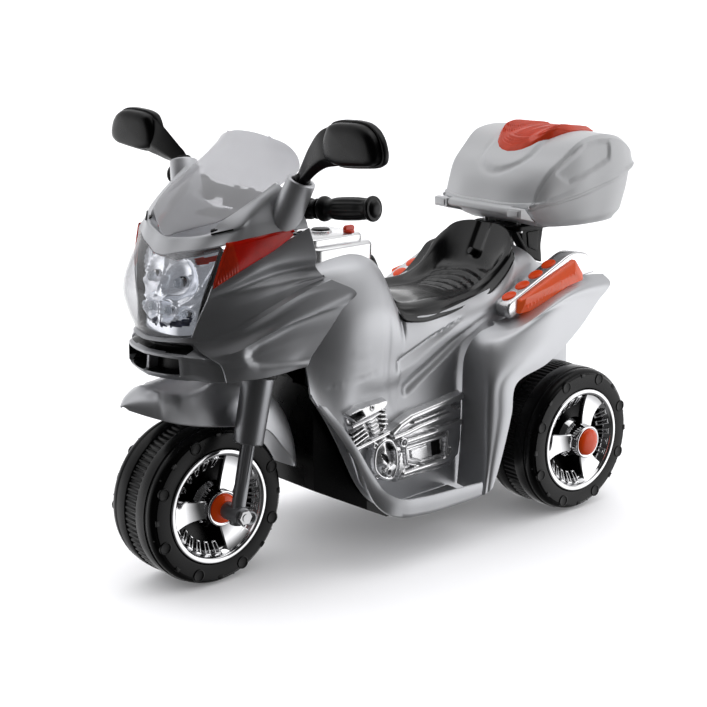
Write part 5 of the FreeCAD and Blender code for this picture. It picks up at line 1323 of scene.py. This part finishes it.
# ---------------------------------------------------------------- console and its controls
m = Mesh()
prism(m, [(283, -40), (292, -48), (380, -48), (394, -34), (394, 34), (380, 48), (292, 48), (283, 40)], 374, 398.6, "z", r=9, e=5.0, n=5, ne=5)
prism(m, [(292, -30), (299, -35), (375, -35), (386, -26), (386, 26), (375, 35), (299, 35), (292, 30)], 396, 408, "z", r=7, e=3.0, n=5, ne=4)
m.grid(lathe(rprof([(14.6, 407), (14.6, 409.2), (13.4, 410), (12.4, 409.4), (12.4, 396)], 0.5, 2), (328, -8, 0), (0, 0, 1), 40), 0, cv=True)
m.grid(lathe(rprof([(7.6, 407), (7.6, 408.3), (5.1, 408.3), (5.1, 396)], 0.4, 2), (310, 26, 0), (0, 0, 1), 32), 0, cv=True)
m.done("console_cover", TRIM, "chassis", "chrome_look", ("console",), sharp=35)
m = Mesh()
m.grid(lathe(rprof([(5.0, 396), (5.0, 408.5), (7.2, 408.6), (7.4, 411.2), (6.6, 412.0), (0, 412.2)], 0.6, 3), (310, 26, 0), (0, 0, 1), 32), 0, cv=True)
prism(m, [(302, 411), (318, 411), (318.6, 415), (316, 418.4), (304, 418.4), (301.4, 415)], 23.6, 28.4, "y", r=2.0, e=1.4, both=True)
m.done("key_handle", RED, "key", "red_lens", ("key_knob",), sharp=40)
m = Mesh()
m.grid(lathe(rprof([(0, 402.6), (12, 402.6), (12, 410.6), (11, 412), (6, 412.6), (0, 412.8)], 0.8, 3), (328, -8, 0), (0, 0, 1), 40), 0, cv=True)
m.done("horn_key", BLACK, "horn", "black_plastic", ("horn_button",), sharp=40)
m = Mesh()
prism(m, [(352, 403), (359, 399), (365, 399), (372, 403), (372, 410.6), (362, 408.6), (352, 410.6)], -19, -5, "y", r=1.2, e=1.0, both=True)
m.grid(lathe([(0, -22.5), (1.5, -22.5), (1.5, -1.5), (0, -1.5)], (362, 0, 402), (0, 1, 0), 16), 0, cv=True)
for k in range(3):
    box8(m, (355.5 + 2.2 * k, -12, 410.2 - 0.45 * k), ((1, 0, -0.2), (0, 1, 0), (0.2, 0, 1)), (0.9, 9, 0.9), 0, 0.3)
m.done("rocker_key", BLACK, "rocker", "black_plastic", ("direction_rocker",), sharp=35)

# ---------------------------------------------------------------- accelerator pedal
m = Mesh()
prism(m, [(233, 74), (242, 71), (296, 83), (295, 91), (240, 80)], -134, -104, "y", r=2.0, e=1.4, both=True)
m.grid(lathe([(0, -139.5), (2.5, -139.5), (2.5, -134), (5.5, -134), (5.5, -104), (2.5, -104), (2.5, -98.5), (0, -98.5)], (236, 0, 74), (0, 1, 0), 20), 0, cv=True)
for k in range(6):
    x = 248 + 8 * k
    box8(m, (x, -119, 81.2 + (x - 240) * 0.2), ((1, 0, 0.2), (0, 1, 0), (-0.2, 0, 1)), (3, 24, 1.8), 0, 0.6)
m.done("pedal_pad", BLACK, "pedal", "black_plastic", ("accelerator_pedal",), sharp=35)

# ---------------------------------------------------------------- floor, light, camera
me = bpy.data.meshes.new("floor")
F = 60.0
me.from_pydata([(-F, -F, 0), (F, -F, 0), (F, F, 0), (-F, F, 0)], [], [(0, 1, 2, 3)])
floor = bpy.data.objects.new("floor", me)
bpy.context.scene.collection.objects.link(floor)
FLOOR = mat("floor_paper", (0.90, 0.90, 0.915, 1), rough=0.85, vary=0.008, scale=3, bump=0.0, spec=0.1)
me.materials.append(FLOOR)
floor.visible_diffuse = False
floor.visible_glossy = False
away = bpy.data.collections.new("lamps_miss")
away.objects.link(floor)
away.collection_objects[0].light_linking.link_state = "EXCLUDE"


def area(name, loc, target, size, power, col=(1, 1, 1), sy=None):
    l = bpy.data.lights.new(name, "AREA")
    l.energy = power
    l.color = col
    l.shape = "RECTANGLE"
    l.size = size
    l.size_y = sy or size
    o = bpy.data.objects.new(name, l)
    o.location = loc
    o.rotation_mode = "QUATERNION"
    o.rotation_quaternion = (Vector(target) - Vector(loc)).to_track_quat("-Z", "Y")
    bpy.context.scene.collection.objects.link(o)
    o.light_linking.receiver_collection = away
    return o


area("overhead", (-0.5, 0.75, 2.0), (0.0, 0, 0.3), 1.3, 5)
area("key_rear", (-1.5, 1.9, 0.35), (0.05, 0, 0.25), 1.4, 5)
only = bpy.data.collections.new("wash_hits")
only.objects.link(floor)
wash = bpy.data.lights.new("wash", "SUN")
wash.energy = 2.6
wash.angle = math.radians(150)
wo = bpy.data.objects.new("wash", wash)
wo.rotation_euler = (math.radians(8), math.radians(-14), 0)
bpy.context.scene.collection.objects.link(wo)
wo.light_linking.receiver_collection = only
base_wash = bpy.data.lights.new("wash_even", "SUN")
base_wash.energy = 0.45
base_wash.use_shadow = False
bo = bpy.data.objects.new("wash_even", base_wash)
bpy.context.scene.collection.objects.link(bo)
bo.light_linking.receiver_collection = only
world = bpy.data.worlds.new("studio")
bpy.context.scene.world = world
world.use_nodes = True
wn, wl = world.node_tree.nodes, world.node_tree.links
bg = wn["Background"]
tcw = wn.new("ShaderNodeTexCoord")
sepw = wn.new("ShaderNodeSeparateXYZ")
wl.new(tcw.outputs["Generated"], sepw.inputs[0])
crw = wn.new("ShaderNodeValToRGB")
els = crw.color_ramp.elements
els[0].position, els[0].color = 0.0, (0.08, 0.08, 0.081, 1)
els[1].position, els[1].color = 1.0, (0.9, 0.9, 0.91, 1)
for pos, v in ((0.14, 0.14), (0.24, 0.60), (0.31, 1.0), (0.50, 1.0), (0.58, 0.62), (0.68, 0.48), (0.84, 0.52)):
    e = els.new(pos)
    e.color = (v, v, v * 1.01, 1)
hz = wn.new("ShaderNodeMapRange")
hz.inputs["From Min"].default_value = -1.0
hz.inputs["From Max"].default_value = 1.0
wl.new(sepw.outputs["Z"], hz.inputs["Value"])
wl.new(hz.outputs["Result"], crw.inputs["Fac"])
# bright backdrop behind the bike, dim room in front of it
dotw = wn.new("ShaderNodeVectorMath")
dotw.operation = "DOT_PRODUCT"
wl.new(tcw.outputs["Generated"], dotw.inputs[0])
dotw.inputs[1].default_value = (0.642, 0.731, 0.231)
mrw = wn.new("ShaderNodeMapRange")
mrw.interpolation_type = "SMOOTHSTEP"
mrw.inputs["From Min"].default_value = 0.05
mrw.inputs["From Max"].default_value = 0.58
mrw.inputs["To Min"].default_value = 1.65
mrw.inputs["To Max"].default_value = 0.05
wl.new(dotw.outputs["Value"], mrw.inputs["Value"])
wl.new(crw.outputs["Color"], bg.inputs["Color"])
wl.new(mrw.outputs["Result"], bg.inputs["Strength"])

cam = bpy.data.cameras.new("cam")
cam.sensor_width = 36.0
cam.lens = 1600.5 / 707 * 36.0
cam.shift_x = -(352.97 - 353.5) / 707
cam.shift_y = (323.96 - 353.5) / 707
cam.clip_start, cam.clip_end = 0.05, 200
co = bpy.data.objects.new("cam", cam)
a, e = math.radians(138.717), math.radians(13.343)
back = Vector((math.sin(a) * math.cos(e), -math.cos(a) * math.cos(e), math.sin(e)))
co.location = Vector((0.0465, 0, 0.28)) + back * 2.098
co.rotation_mode = "QUATERNION"
co.rotation_quaternion = (-back).to_track_quat("-Z", "Y")
bpy.context.scene.collection.objects.link(co)
bpy.context.scene.camera = co
sc = bpy.context.scene
sc.view_settings.view_transform = "Standard"
sc.view_settings.look = "None"
sc.view_settings.exposure = 0.0
